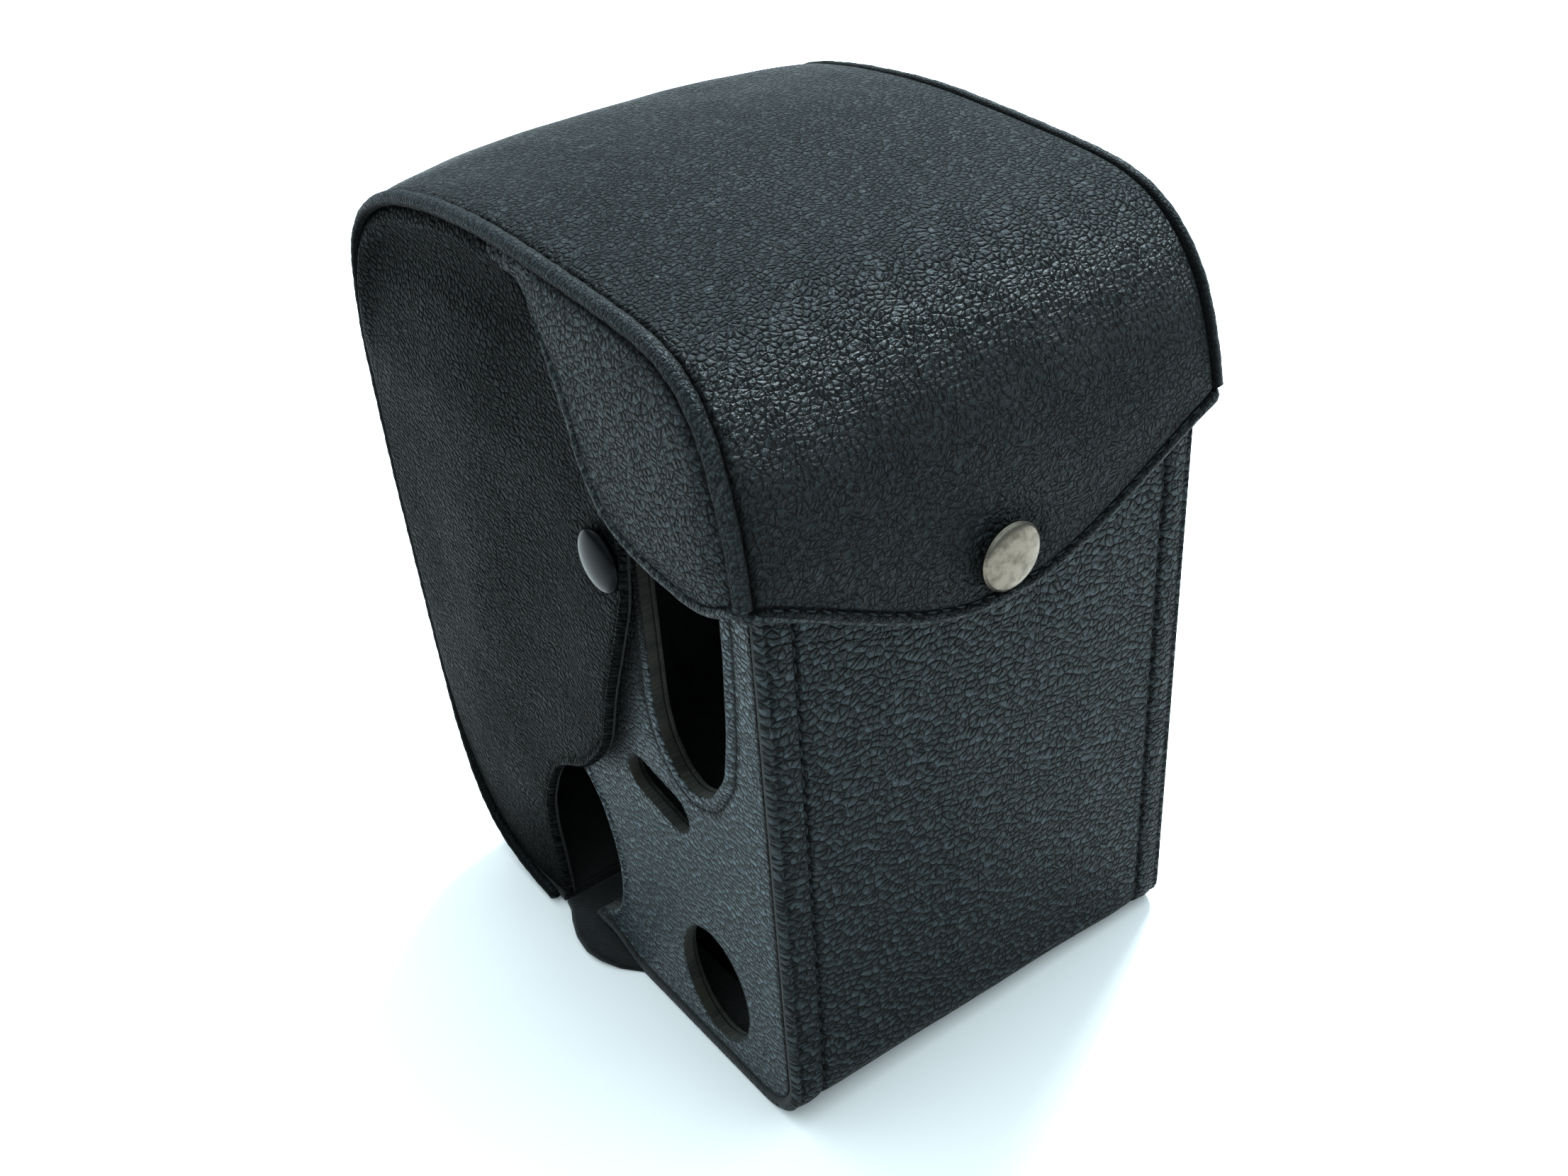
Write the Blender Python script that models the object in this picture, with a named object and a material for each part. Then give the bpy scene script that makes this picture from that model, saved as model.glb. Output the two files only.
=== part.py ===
"""Leather ever-ready camera case for a twin-lens camera.

A stiff open box with cut-outs in its sides carries the camera on a case screw. A bulged front
cover is sewn under the base, and its ears wrap back over the box to a press-stud on each side.
The lid folds up and forward from a crease across the top. All lengths are in millimetres and
are turned into metres when a mesh is made. X runs across the case, Y from back to front, Z up.
"""
import bpy
import bmesh
import math
from mathutils import Vector
from mathutils.geometry import tessellate_polygon

MM = 0.001
GAP = 0.3

# The back of the box is at -58.2 and the box base at 0 in the drawing below. Y_CENTRE moves the
# drawing so that the finished part is centred on the origin.
Y_CENTRE = 6.75

# Box that holds the camera
BOX_HALF = 50.2
BOX_LEATHER = 3.0
BOX_TOP = 130.0
BOX_BACK = -58.2
BOX_CORNER = 10.0
BASE_FRONT = 15.5
RAMP_START = 0.0
RAMP_END = 8.0
RAMP_RISE = 3.3
LINING = 0.8

# Case screw, a quarter-inch tripod thread
SCREW_Y = -22.0
SCREW_R = 3.1
SCREW_HEAD_R = 8.8
SCREW_TIP = 13.5
PLATE_THICK = 1.8
CLIP_R = 5.2
RECESS = 1.1

# Front cover
COVER_HALF = 52.2
COVER_LEATHER = 2.6
CHEEK_INNER = 50.5
CHEEK_OUTER = 52.7
CROWN = 1.8
BULGE = 5.0
BULGE_START = 32.0
BULGE_FULL = 66.0

# Above LEAN_START the sides of the cover and the lid lean inwards, and above LEAN_KNEE more so
LEAN_START = 128.0
LEAN_KNEE = 148.0
LEAN_LOW = 0.05
LEAN_HIGH = 0.1

# Fold of the lid, across the top of the case
FOLD_Y = 8.0
FOLD_Z = 170.4

# Lid
LID_LEATHER = 2.2
GUSSET_INNER = 53.0
GUSSET_OUTER = 55.0
HEM_LOW = 105.9
HEM_SQUARE = 0.0108
HEM_FOURTH = -1.37e-6
WELT_R = 1.15
WELT_X = 53.95
WELT_DEPTH = 1.2

# Fold of each ear, from the top of the slit to the top of the knob notch
EAR_TOP = (-5.5, 152.0)
EAR_BOTTOM = (20.6, 42.0)
EAR_START_Z = 143.0

# Press-studs
REAR_SNAP_Z = 115.5
SIDE_SNAP = (-15.5, 115.5)
STUD_HEIGHT = 1.0
SEGMENTS = 28


def clear_scene():
    for obj in list(bpy.data.objects):
        bpy.data.objects.remove(obj, do_unlink=True)


def make_material(name, colour, roughness, metallic):
    mat = bpy.data.materials.new(name)
    mat.use_nodes = True
    shader = mat.node_tree.nodes["Principled BSDF"]
    shader.inputs["Base Color"].default_value = (colour[0], colour[1], colour[2], 1.0)
    shader.inputs["Roughness"].default_value = roughness
    shader.inputs["Metallic"].default_value = metallic
    return mat


LEATHER = ((0.035, 0.042, 0.042), 0.5, 0.0)
FELT = ((0.07, 0.068, 0.045), 0.95, 0.0)
STEEL = ((0.05, 0.05, 0.05), 0.45, 0.9)
NICKEL = ((0.62, 0.59, 0.52), 0.3, 1.0)
ENAMEL = ((0.01, 0.01, 0.012), 0.12, 0.0)


def finish_object(name, bm, origin, look, smooth):
    """Close the mesh, put its origin at origin (mm) and give it its own material."""
    bmesh.ops.remove_doubles(bm, verts=bm.verts, dist=1e-6)
    bmesh.ops.recalc_face_normals(bm, faces=bm.faces)
    shift = Vector((origin[0], origin[1] - Y_CENTRE, origin[2])) * MM
    for vert in bm.verts:
        vert.co = (vert.co - Vector((0, Y_CENTRE, 0))) * MM - shift
    mesh = bpy.data.meshes.new(name)
    bm.to_mesh(mesh)
    bm.free()
    for face in mesh.polygons:
        face.use_smooth = smooth
    obj = bpy.data.objects.new(name, mesh)
    obj.location = shift
    bpy.context.scene.collection.objects.link(obj)
    mesh.materials.append(make_material(name, *look))
    return obj


def normals_of(path):
    """Mitred unit offset at every point of an open (y, z) path, to the left of its direction."""
    result = []
    last = len(path) - 1
    for i, point in enumerate(path):
        before = path[max(i - 1, 0)]
        after = path[min(i + 1, last)]
        sides = []
        for a, b in ((before, point), (point, after)):
            length = math.hypot(b[0] - a[0], b[1] - a[1])
            if length > 0:
                sides.append((-(b[1] - a[1]) / length, (b[0] - a[0]) / length))
        ny = sum(s[0] for s in sides)
        nz = sum(s[1] for s in sides)
        size = math.hypot(ny, nz)
        ny, nz = ny / size, nz / size
        stretch = 1.0 / max(ny * sides[0][0] + nz * sides[0][1], 0.5)
        result.append((ny * stretch, nz * stretch))
    return result


def offset(path, distance):
    return [(p[0] + n[0] * distance, p[1] + n[1] * distance) for p, n in zip(path, normals_of(path))]


def arc(centre, radius, start, end, steps):
    points = []
    for i in range(steps + 1):
        angle = math.radians(start + (end - start) * i / steps)
        points.append((centre[0] + radius * math.cos(angle), centre[1] + radius * math.sin(angle)))
    return points


def oval(centre, half_y, half_z, tilt, steps):
    """Closed oval, tilted by tilt degrees."""
    points = []
    turn = math.radians(tilt)
    for i in range(steps):
        angle = 2 * math.pi * i / steps
        y = half_y * math.cos(angle)
        z = half_z * math.sin(angle)
        points.append((centre[0] + y * math.cos(turn) - z * math.sin(turn),
                       centre[1] + y * math.sin(turn) + z * math.cos(turn)))
    return points


def slot(centre, length, width, tilt):
    """Closed slot with round ends, tilted by tilt degrees."""
    reach = (length - width) / 2
    turn = math.radians(tilt)
    points = []
    for end, start in ((1, -90), (-1, 90)):
        for y, z in arc((end * reach, 0), width / 2, start, start + 180, 8):
            points.append((centre[0] + y * math.cos(turn) - z * math.sin(turn),
                           centre[1] + y * math.sin(turn) + z * math.cos(turn)))
    return points


def lean(z):
    """Distance that the side of the cover and the lid has moved inwards at height z."""
    low = min(max(z - LEAN_START, 0.0), LEAN_KNEE - LEAN_START) * LEAN_LOW
    return low + max(z - LEAN_KNEE, 0.0) * LEAN_HIGH


def panel(name, outline, holes, x_inner, x_outer, sign, look, origin=(0, 0, 0), leaning=False):
    """Panel across X between two distances from the middle, on the side given by sign."""
    bm = bmesh.new()
    loops = [outline] + list(holes)
    rings = []
    for x in (sign * x_inner, sign * x_outer):
        rings.append([[bm.verts.new((x, y, z)) for y, z in loop] for loop in loops])
    flat = [[Vector((0, y, z)) for y, z in loop] for loop in loops]
    triangles = tessellate_polygon(flat)
    for side in rings:
        verts = [v for loop in side for v in loop]
        for tri in triangles:
            bm.faces.new([verts[i] for i in tri])
    for near, far in zip(rings[0], rings[1]):
        count = len(near)
        for i in range(count):
            j = (i + 1) % count
            bm.faces.new((near[i], near[j], far[j], far[i]))
    if leaning:
        for height in (LEAN_START, LEAN_KNEE):
            everything = bm.verts[:] + bm.edges[:] + bm.faces[:]
            bmesh.ops.bisect_plane(bm, geom=everything, plane_co=(0, 0, height), plane_no=(0, 0, 1))
        for vert in bm.verts:
            vert.co.x -= sign * lean(vert.co.z)
    return finish_object(name, bm, origin, look, False)


def crown(x, z):
    """Height added to the top strips so that they are domed across the case."""
    rise = min(max((z - 140.0) / 24.0, 0.0), 1.0)
    return CROWN * (1 - (x / COVER_HALF) ** 2) * rise * rise * (3 - 2 * rise)


def bulge(x, y):
    """Distance that the middle of the front is pushed forward, fading out towards the top and base."""
    rise = min(max((y - BULGE_START) / (BULGE_FULL - BULGE_START), 0.0), 1.0)
    return BULGE * (1 - (x / COVER_HALF) ** 2) * rise * rise * (3 - 2 * rise)


def strip(name, outer, thickness, half, look, steps=12, hem=None, origin=(0, 0, 0), leaning=False):
    """Strip of leather bent along an (y, z) path and running across X from -half to half.

    hem gives the height of the last point for each x, for a flap with a curved lower edge.
    """
    bm = bmesh.new()
    columns = []
    for i in range(steps + 1):
        x = half * (2 * i / steps - 1)
        path = list(outer)
        if hem is not None:
            start, end = path[-2], path[-1]
            path = path[:-1]
            for part in (0.34, 0.67, 1.0):
                z = start[1] + (hem(x) - start[1]) * part
                along = (z - start[1]) / (end[1] - start[1])
                path.append((start[0] + (end[0] - start[0]) * along, z))
        inner = offset(path, thickness)
        column = []
        for y, z in path + inner[::-1]:
            narrow = lean(z) / COVER_HALF if leaning else 0.0
            column.append(bm.verts.new((x * (1 - narrow), y + bulge(x, y), z + crown(x, z))))
        columns.append(column)
    count = len(columns[0])
    for left, right in zip(columns[:-1], columns[1:]):
        for i in range(count):
            j = (i + 1) % count
            bm.faces.new((left[i], left[j], right[j], right[i]))
    half_count = count // 2
    for column in (columns[0], columns[-1]):
        for i in range(half_count - 1):
            a, b = count - 1 - i, count - 2 - i
            bm.faces.new((column[i], column[i + 1], column[b], column[a]))
    return finish_object(name, bm, origin, look, False)


def welt(name, path, sign, look):
    """Round welt rod that follows a (y, z) path on the side given by sign."""
    bm = bmesh.new()
    sides = 8
    rings = []
    for point, normal in zip(path, normals_of(path)):
        ring = []
        x = sign * (WELT_X - lean(point[1]))
        for i in range(sides):
            angle = 2 * math.pi * i / sides
            across = WELT_R * math.cos(angle)
            up = WELT_R * math.sin(angle)
            ring.append(bm.verts.new((x + across, point[0] + normal[0] * up, point[1] + normal[1] * up)))
        rings.append(ring)
    for near, far in zip(rings[:-1], rings[1:]):
        for i in range(sides):
            j = (i + 1) % sides
            bm.faces.new((near[i], near[j], far[j], far[i]))
    bm.faces.new(rings[0])
    bm.faces.new(rings[-1])
    return finish_object(name, bm, (0, 0, 0), look, True)


def turned(name, profile, axis, centre, look):
    """Turned piece: (radius, distance) points revolved about axis through centre."""
    bm = bmesh.new()
    direction = Vector(axis).normalized()
    across = direction.orthogonal().normalized()
    third = direction.cross(across)
    middle = Vector(centre)
    rings = []
    for radius, distance in profile:
        base = middle + direction * distance
        if radius == 0:
            rings.append([bm.verts.new(base)])
            continue
        ring = []
        for i in range(SEGMENTS):
            angle = 2 * math.pi * i / SEGMENTS
            ring.append(bm.verts.new(base + (across * math.cos(angle) + third * math.sin(angle)) * radius))
        rings.append(ring)
    pairs = list(zip(rings[:-1], rings[1:]))
    if len(rings[0]) > 1:
        pairs.append((rings[-1], rings[0]))
    for near, far in pairs:
        for i in range(SEGMENTS):
            j = (i + 1) % SEGMENTS
            if len(near) == 1 and len(far) == 1:
                continue
            if len(near) == 1:
                bm.faces.new((near[0], far[i], far[j]))
            elif len(far) == 1:
                bm.faces.new((near[i], near[j], far[0]))
            else:
                bm.faces.new((near[i], near[j], far[j], far[i]))
    return finish_object(name, bm, centre, look, True)


def cut(target, radius, axis, centre, length):
    """Cut a round hole through target."""
    profile = ((0, -length / 2), (radius, -length / 2), (radius, length / 2), (0, length / 2))
    tool = turned(target.name + "_hole", profile, axis, centre, STEEL)
    tool.hide_render = True
    tool.display_type = "WIRE"
    hole = target.modifiers.new("hole", "BOOLEAN")
    hole.operation = "DIFFERENCE"
    hole.solver = "EXACT"
    hole.object = tool


def circle(centre, radius):
    return oval(centre, radius, radius, 0, 20)


# ---------------------------------------------------------------- outlines, as (y, z)

def base_path():
    """Outer face of the back and base strip, from the top of the back to the front of the base."""
    corner = arc((BOX_BACK + BOX_CORNER, BOX_CORNER), BOX_CORNER, 180, 270, 8)
    return ([(BOX_BACK, BOX_TOP)] + corner
            + [(RAMP_START, 0), (RAMP_END, RAMP_RISE), (BASE_FRONT, RAMP_RISE)])


def side_outline(inset):
    """Side panel of the box, held inside the back and base strip by inset."""
    inner = offset(base_path(), inset)
    notch = [(14.6, 7.3), (10.0, 9.4), (5.0, 13.8), (2.5, 20.0), (1.6, 27.5), (2.5, 35.0), (5.6, 43.8),
             (10.0, 48.8), (17.0, 52.5), (23.0, 60.0), (24.5, 75.0), (24.5, BOX_TOP)]
    window = [(-21.0, BOX_TOP), (-21.0, 84.0), (-22.5, 77.5), (-26.5, 72.0), (-31.5, 70.0), (-37.5, 72.5),
              (-43.0, 81.0), (-45.0, 92.5), (-46.3, 110.0), (-46.6, BOX_TOP)]
    inner[-1] = (14.6, inner[-1][1])
    return inner + notch + window


def cover_path():
    """Outer face of the front cover, from under the base to the fold of the lid."""
    return [(27.0, 0.0), (40.0, 1.0), (50.5, 4.0), (57.0, 9.0), (62.0, 17.5), (65.8, 31.0), (68.0, 50.0),
            (70.0, 72.0), (71.9, 95.0), (72.7, 115.0), (73.0, 130.0), (72.8, 141.0), (71.0, 150.5),
            (66.5, 157.0), (59.0, 161.5), (50.5, 164.5), (35.7, 167.0), (20.0, 168.3),
            (FOLD_Y + GAP, 168.5)]


def lid_path():
    """Outer face of the lid strip, from the fold to the hem of the rear flap."""
    return [(FOLD_Y - GAP, 168.5), (-10.0, 167.6), (-25.0, 166.6), (-34.0, 165.7), (-40.0, 164.5),
            (-45.5, 162.0), (-50.8, 157.4), (-55.2, 150.8), (-57.9, 143.8), (-59.7, 137.0),
            (-61.4, 128.0), (-62.3, 106.0)]


def fold_point(z, shift):
    """Point on the fold line of the ear at height z, moved forward by shift."""
    part = (z - EAR_TOP[1]) / (EAR_BOTTOM[1] - EAR_TOP[1])
    return (EAR_TOP[0] + (EAR_BOTTOM[0] - EAR_TOP[0]) * part + shift, z)


def cheek_outline():
    inner = offset(cover_path(), COVER_LEATHER + GAP)
    inner[0] = (25.5, inner[0][1])
    rear = [(6.0, 163.4), (3.5, 160.5), (0.0, 156.0), (-4.2, 152.0), (-8.9, 147.5), (-10.8, EAR_START_Z),
            fold_point(EAR_START_Z, GAP / 2), fold_point(EAR_BOTTOM[1], GAP / 2), (24.5, 32.6), (25.5, 24.3)]
    return inner[:-1] + [(FOLD_Y, inner[-1][1])] + rear


def ear_outline():
    edge = [(17.1, 47.3), (12.2, 50.7), (4.9, 54.6), (0.0, 59.5), (-4.9, 65.4), (-7.4, 70.3), (-12.3, 84.0),
            (-17.2, 96.3), (-21.5, 107.4), (-22.6, 113.4), (-22.8, 120.0), (-22.6, 125.6),
            (-19.7, 127.9), (-16.6, 131.5), (-13.5, 136.7), (-11.0, EAR_START_Z - GAP)]
    return [fold_point(EAR_START_Z - GAP, -GAP / 2), fold_point(44.0, -GAP / 2)] + edge


def gusset_outline():
    top = offset(lid_path(), WELT_DEPTH + WELT_R + GAP)[1:-1]
    hem = [(-58.2, 126.0), (-55.0, 123.9), (-50.0, 122.0), (-45.0, 121.6), (-35.0, 122.6), (-30.0, 123.5),
           (-25.0, 125.1), (-20.0, 128.5), (-17.0, 132.0), (-14.0, 137.0), (-12.0, 142.0),
           (-9.4, 147.7), (-4.6, 152.2), (-0.6, 156.0), (3.0, 160.5), (5.5, 163.5)]
    return top + hem


def flap_hem(x):
    """Height of the lower edge of the rear flap."""
    return HEM_LOW + HEM_SQUARE * x ** 2 + HEM_FOURTH * x ** 4


# ---------------------------------------------------------------- pieces

def build_box():
    outer = base_path()
    back = strip("box_back_base", outer, BOX_LEATHER, BOX_HALF, LEATHER, steps=4)
    cut(back, SCREW_HEAD_R + 0.4, (0, 0, 1), (0, SCREW_Y, 0), 8)
    cut(back, 1.9, (0, 1, 0), (0, BOX_BACK, REAR_SNAP_Z), 12)
    lining_path = offset(outer, BOX_LEATHER + GAP)
    lining_path[-1] = (13.5, lining_path[-1][1])
    lining = strip("lining_back_base", lining_path, LINING, 45.8, FELT, steps=4)
    cut(lining, 3.9, (0, 0, 1), (0, SCREW_Y, 4), 5)
    cut(lining, 1.9, (0, 1, 0), (0, BOX_BACK, REAR_SNAP_Z), 12)
    for side, sign in (("left", -1), ("right", 1)):
        slot_hole = slot((-18.3, 61.5), 20.5, 9.0, 10)
        round_hole = oval((-31.6, 20.2), 11.0, 13.8, 0, 28)
        stud_hole = circle(SIDE_SNAP, 1.9)
        inner = BOX_HALF - BOX_LEATHER
        panel("box_side_" + side, side_outline(BOX_LEATHER + GAP), (slot_hole, round_hole, stud_hole),
              inner, BOX_HALF, sign, LEATHER)
        wide_slot = slot((-18.3, 61.5), 21.5, 10.0, 10)
        wide_round = oval((-31.6, 20.2), 11.5, 13.8, 0, 28)
        panel("lining_" + side, side_outline(BOX_LEATHER + GAP), (wide_slot, wide_round, stud_hole),
              inner - GAP - LINING, inner - GAP, sign, FELT)
    plate_low = BOX_LEATHER + GAP + LINING + GAP
    plate = [(-40.0, plate_low), (-4.0, plate_low), (-4.0, plate_low + PLATE_THICK),
             (-40.0, plate_low + PLATE_THICK)]
    base_plate = panel("base_plate", plate, (), -38, 38, 1, STEEL)
    plate_top = plate_low + PLATE_THICK
    cut(base_plate, 3.7, (0, 0, 1), (0, SCREW_Y, plate_low), 6)
    cut(base_plate, CLIP_R + 0.4, (0, 0, 1), (0, SCREW_Y, plate_top), 2 * RECESS)
    return plate_top


def build_screw(plate_top):
    """Screw that stands up through the base, and the clip that keeps it there.

    The clip lies in a recess, so that the camera rests flat on the plate.
    """
    groove = plate_top - RECESS + 0.05
    head_top = BOX_LEATHER - 0.1
    profile = [(0, 0.3), (SCREW_HEAD_R - 0.5, 0.3), (SCREW_HEAD_R, 0.8), (SCREW_HEAD_R, head_top - 0.4),
               (SCREW_HEAD_R - 0.4, head_top), (SCREW_R, head_top), (SCREW_R, groove), (2.4, groove),
               (2.4, groove + 1.0), (SCREW_R, groove + 1.0), (SCREW_R, SCREW_TIP - 0.8),
               (SCREW_R - 0.8, SCREW_TIP), (0, SCREW_TIP)]
    turned("case_screw", profile, (0, 0, 1), (0, SCREW_Y, 0), STEEL)
    ring = [(2.6, groove + 0.2), (CLIP_R, groove + 0.2), (CLIP_R, groove + 0.8), (2.6, groove + 0.8)]
    turned("screw_clip", ring, (0, 0, 1), (0, SCREW_Y, 0), NICKEL)


def build_stud(name, axis, face, depth, look):
    """Stud on the outside of the box and the post that holds it from the inside.

    face is the point on the outer face of the box and depth the thickness it is riveted through.
    """
    top = 0.2 + STUD_HEIGHT
    stud = [(0, -1.0), (1.3, -1.0), (1.3, -depth), (1.6, -depth), (1.6, 0.2), (2.3, 0.2),
            (2.6, 0.2 + STUD_HEIGHT / 2), (2.3, top), (0, top)]
    turned(name, stud, axis, face, look)
    post = [(0, -depth - 0.9), (3.4, -depth - 0.9), (4.0, -depth - 0.6), (4.0, -depth - 0.2),
            (1.0, -depth - 0.2), (1.0, -1.4), (0, -1.4)]
    turned(name + "_post", post, axis, face, look)


def build_snap(name, axis, base, radius, height, socket_depth, look):
    """Cap on the outside of the leather and the socket set in the leather behind it."""
    dome = [(0, height)]
    for part in range(1, 6):
        angle = math.radians(90 * part / 6)
        dome.append((radius * math.sin(angle), 0.6 + (height - 0.6) * math.cos(angle)))
    cap = dome + [(radius, 0.55), (radius - 0.1, 0.15), (radius - 0.5, 0), (1.2, 0), (1.2, -0.9), (0, -0.9)]
    turned(name + "_cap", cap, axis, base, look)
    top = -0.35
    socket = [(1.5, top), (4.6, top), (5.0, top - 0.4), (5.0, -socket_depth), (4.1, -socket_depth),
              (4.1, -socket_depth + 1.55), (1.5, -socket_depth + 1.55)]
    turned(name + "_socket", socket, axis, base, NICKEL)


def build_cover():
    path = cover_path()
    strip("cover_front", path, COVER_LEATHER, COVER_HALF, LEATHER, leaning=True)
    inner = offset(path, COVER_LEATHER + GAP)
    strip("cover_lining", inner, LINING, CHEEK_INNER - GAP, FELT, leaning=True)
    tongue = [(2.0, 0), (2.0, 0.45), (7.2, COVER_LEATHER), (26.7, COVER_LEATHER), (26.7, 0)]
    panel("cover_tongue", tongue, (), -COVER_HALF, COVER_HALF, 1, LEATHER)
    welt_path = offset(path, WELT_DEPTH)
    for side, sign in (("left", -1), ("right", 1)):
        panel("cover_cheek_" + side, cheek_outline(), (), CHEEK_INNER, CHEEK_OUTER, sign, LEATHER,
              leaning=True)
        welt("cover_welt_" + side, welt_path, sign, LEATHER)
        hinge = (sign * CHEEK_OUTER, (EAR_TOP[0] + EAR_BOTTOM[0]) / 2, (EAR_TOP[1] + EAR_BOTTOM[1]) / 2)
        panel("ear_" + side, ear_outline(), (circle(SIDE_SNAP, 5.3),), CHEEK_INNER, CHEEK_OUTER,
              sign, LEATHER, hinge, True)
        axis = (sign, 0, 0)
        build_snap(side + "_snap", axis, (sign * (CHEEK_OUTER + GAP), SIDE_SNAP[0], SIDE_SNAP[1]),
                   6.3, 1.9, 2.4, ENAMEL)
        build_stud(side + "_stud", axis, (sign * BOX_HALF, SIDE_SNAP[0], SIDE_SNAP[1]), 4.3, NICKEL)


def build_lid():
    path = lid_path()
    hinge = (0, FOLD_Y, FOLD_Z)
    flap = strip("lid_panel", path, LID_LEATHER, COVER_HALF, LEATHER, 12, flap_hem, hinge, True)
    cut(flap, 5.3, (0, 1, 0), (0, -61, REAR_SNAP_Z), 8)
    inner = offset(path, LID_LEATHER + GAP)[:-2]
    strip("lid_lining", inner, LINING, CHEEK_INNER - GAP, FELT, origin=hinge, leaning=True)
    welt_path = offset(path, WELT_DEPTH)[:-1]
    for side, sign in (("left", -1), ("right", 1)):
        panel("lid_gusset_" + side, gusset_outline(), (), GUSSET_INNER, GUSSET_OUTER, sign, LEATHER,
              hinge, True)
        welt("lid_welt_" + side, welt_path, sign, LEATHER)
    build_snap("rear_snap", (0, -1, 0), (0, -62.5, REAR_SNAP_Z), 6.7, 2.0, 3.6, NICKEL)
    build_stud("rear_stud", (0, -1, 0), (0, BOX_BACK, REAR_SNAP_Z), 4.3, NICKEL)


clear_scene()
plate_top = build_box()
build_screw(plate_top)
build_cover()
build_lid()
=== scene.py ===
"""Black leather ever-ready camera case on a white floor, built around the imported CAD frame.

Lengths in this script are millimetres in the drawing of the case, where the back of the box is at
y = -58.2; place() turns them into metres in the CAD frame. s is a length along the leather strip
that runs from under the base, up the front, over the top and down the back flap.
"""
import math
import bmesh
import bpy
import numpy as np
from mathutils import Matrix, Vector, noise
from mathutils.geometry import delaunay_2d_cdt


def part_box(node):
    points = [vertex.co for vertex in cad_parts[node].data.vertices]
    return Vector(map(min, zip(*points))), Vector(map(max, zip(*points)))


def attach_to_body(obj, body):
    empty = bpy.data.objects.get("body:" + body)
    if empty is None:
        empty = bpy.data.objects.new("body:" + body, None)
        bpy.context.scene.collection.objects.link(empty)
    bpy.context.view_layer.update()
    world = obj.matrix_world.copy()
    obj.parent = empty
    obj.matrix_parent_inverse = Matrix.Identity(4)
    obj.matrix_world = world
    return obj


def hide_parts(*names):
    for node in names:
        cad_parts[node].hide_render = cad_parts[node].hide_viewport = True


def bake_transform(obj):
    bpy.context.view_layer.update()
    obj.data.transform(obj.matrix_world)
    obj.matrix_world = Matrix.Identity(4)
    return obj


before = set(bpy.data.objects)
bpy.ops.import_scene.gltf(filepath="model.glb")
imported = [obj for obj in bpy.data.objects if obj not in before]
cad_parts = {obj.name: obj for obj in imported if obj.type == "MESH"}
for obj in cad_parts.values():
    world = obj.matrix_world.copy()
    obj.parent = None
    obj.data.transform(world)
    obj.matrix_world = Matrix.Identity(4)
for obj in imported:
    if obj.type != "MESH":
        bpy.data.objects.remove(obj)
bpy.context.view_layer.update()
BOX_BACK = -58.2
Y_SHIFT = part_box("box_back_base")[0].y * 1000 - BOX_BACK
BOX_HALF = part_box("box_back_base")[1].x * 1000

# distances from the middle plane, heights and thicknesses
BOX_TOP = 130.0
BOX_LEATHER = 3.0
STRIP_HALF = 52.2
STRIP_LEATHER = 2.4
SIDE_OUTER = 52.7
SIDE_LEATHER = 2.2
GUSSET_OUTER = 55.0
GUSSET_LEATHER = 1.9
# how far the strip domes over the top and bulges at the front, along its middle
CROWN = 1.8
BULGE = 5.0
# (y, z) at the ends of each ear's fold and at the side studs
FOLD_TOP = (-5.5, 152.0)
FOLD_LOW = (20.6, 42.0)
SIDE_SNAP = (-15.5, 115.5)
REAR_SNAP_Z = 115.5
# distance of the stitched grooves from the side of the box and from the window
BACK_SEAM = 7.1
WINDOW_SEAM = 2.9
# width of the painted shadow band beside the ears
EAR_SHADOW_BAND = 4.5
# direction across a pebble from its light side to its dark side
PEBBLE_SLANT = (0.30, 0.55, 0.0)
FLOOR_HALF = 6.0


# ------------------------------------------------------------------ small helpers

def place(points):
    """Millimetres in the drawing to metres in the CAD frame."""
    result = np.array(points, float).reshape(-1, 3).copy()
    result[:, 1] += Y_SHIFT
    return result * 0.001


def smoothstep(low, high, value):
    """0 at low, 1 at high and an S-curve between them. It runs downwards when high is the lesser."""
    t = np.clip((np.asarray(value, float) - low) / (high - low), 0, 1)
    return t * t * (3 - 2 * t)


def lean(z):
    """Distance that the sides of the cover and the lid have moved inwards at height z."""
    z = np.asarray(z, float)
    return np.clip(z - 128, 0, 20) * 0.05 + np.clip(z - 148, 0, None) * 0.1


def bell(value, centre, width):
    """Smooth bump of height 1 about centre."""
    return np.exp(-((value - centre) / width) ** 2)


def lengths_along(points):
    """Length from the start of a polyline to each of its points."""
    return np.concatenate([[0], np.cumsum(np.linalg.norm(np.diff(points, axis=0), axis=1))])


def tangents(points):
    """Unit direction of a polyline at each of its points."""
    ahead = np.gradient(points, axis=0)
    return ahead / np.linalg.norm(ahead, axis=1)[:, None]


def grid_border(shape):
    """True at the outer ring of a grid."""
    border = np.ones(shape, bool)
    border[1:-1, 1:-1] = False
    return border


def resample(points, step, closed):
    """Evenly spaced points along a 2D polyline."""
    pts = np.array(points, float)
    if closed:
        pts = np.vstack([pts, pts[:1]])
    along = lengths_along(pts)
    count = max(int(round(along[-1] / step)), 4)
    want = np.linspace(0, along[-1], count + 1)
    if closed:
        want = want[:-1]
    return np.stack([np.interp(want, along, pts[:, 0]), np.interp(want, along, pts[:, 1])], 1)


def rounded(points, step, passes, closed):
    """Evenly spaced points along a polyline whose corners are worn round."""
    pts = resample(points, step, closed)
    for _ in range(passes):
        if closed:
            pts = (np.roll(pts, 1, 0) + 2 * pts + np.roll(pts, -1, 0)) / 4
        else:
            pts[1:-1] = (pts[:-2] + 2 * pts[1:-1] + pts[2:]) / 4
    return resample(pts, step, closed)


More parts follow.
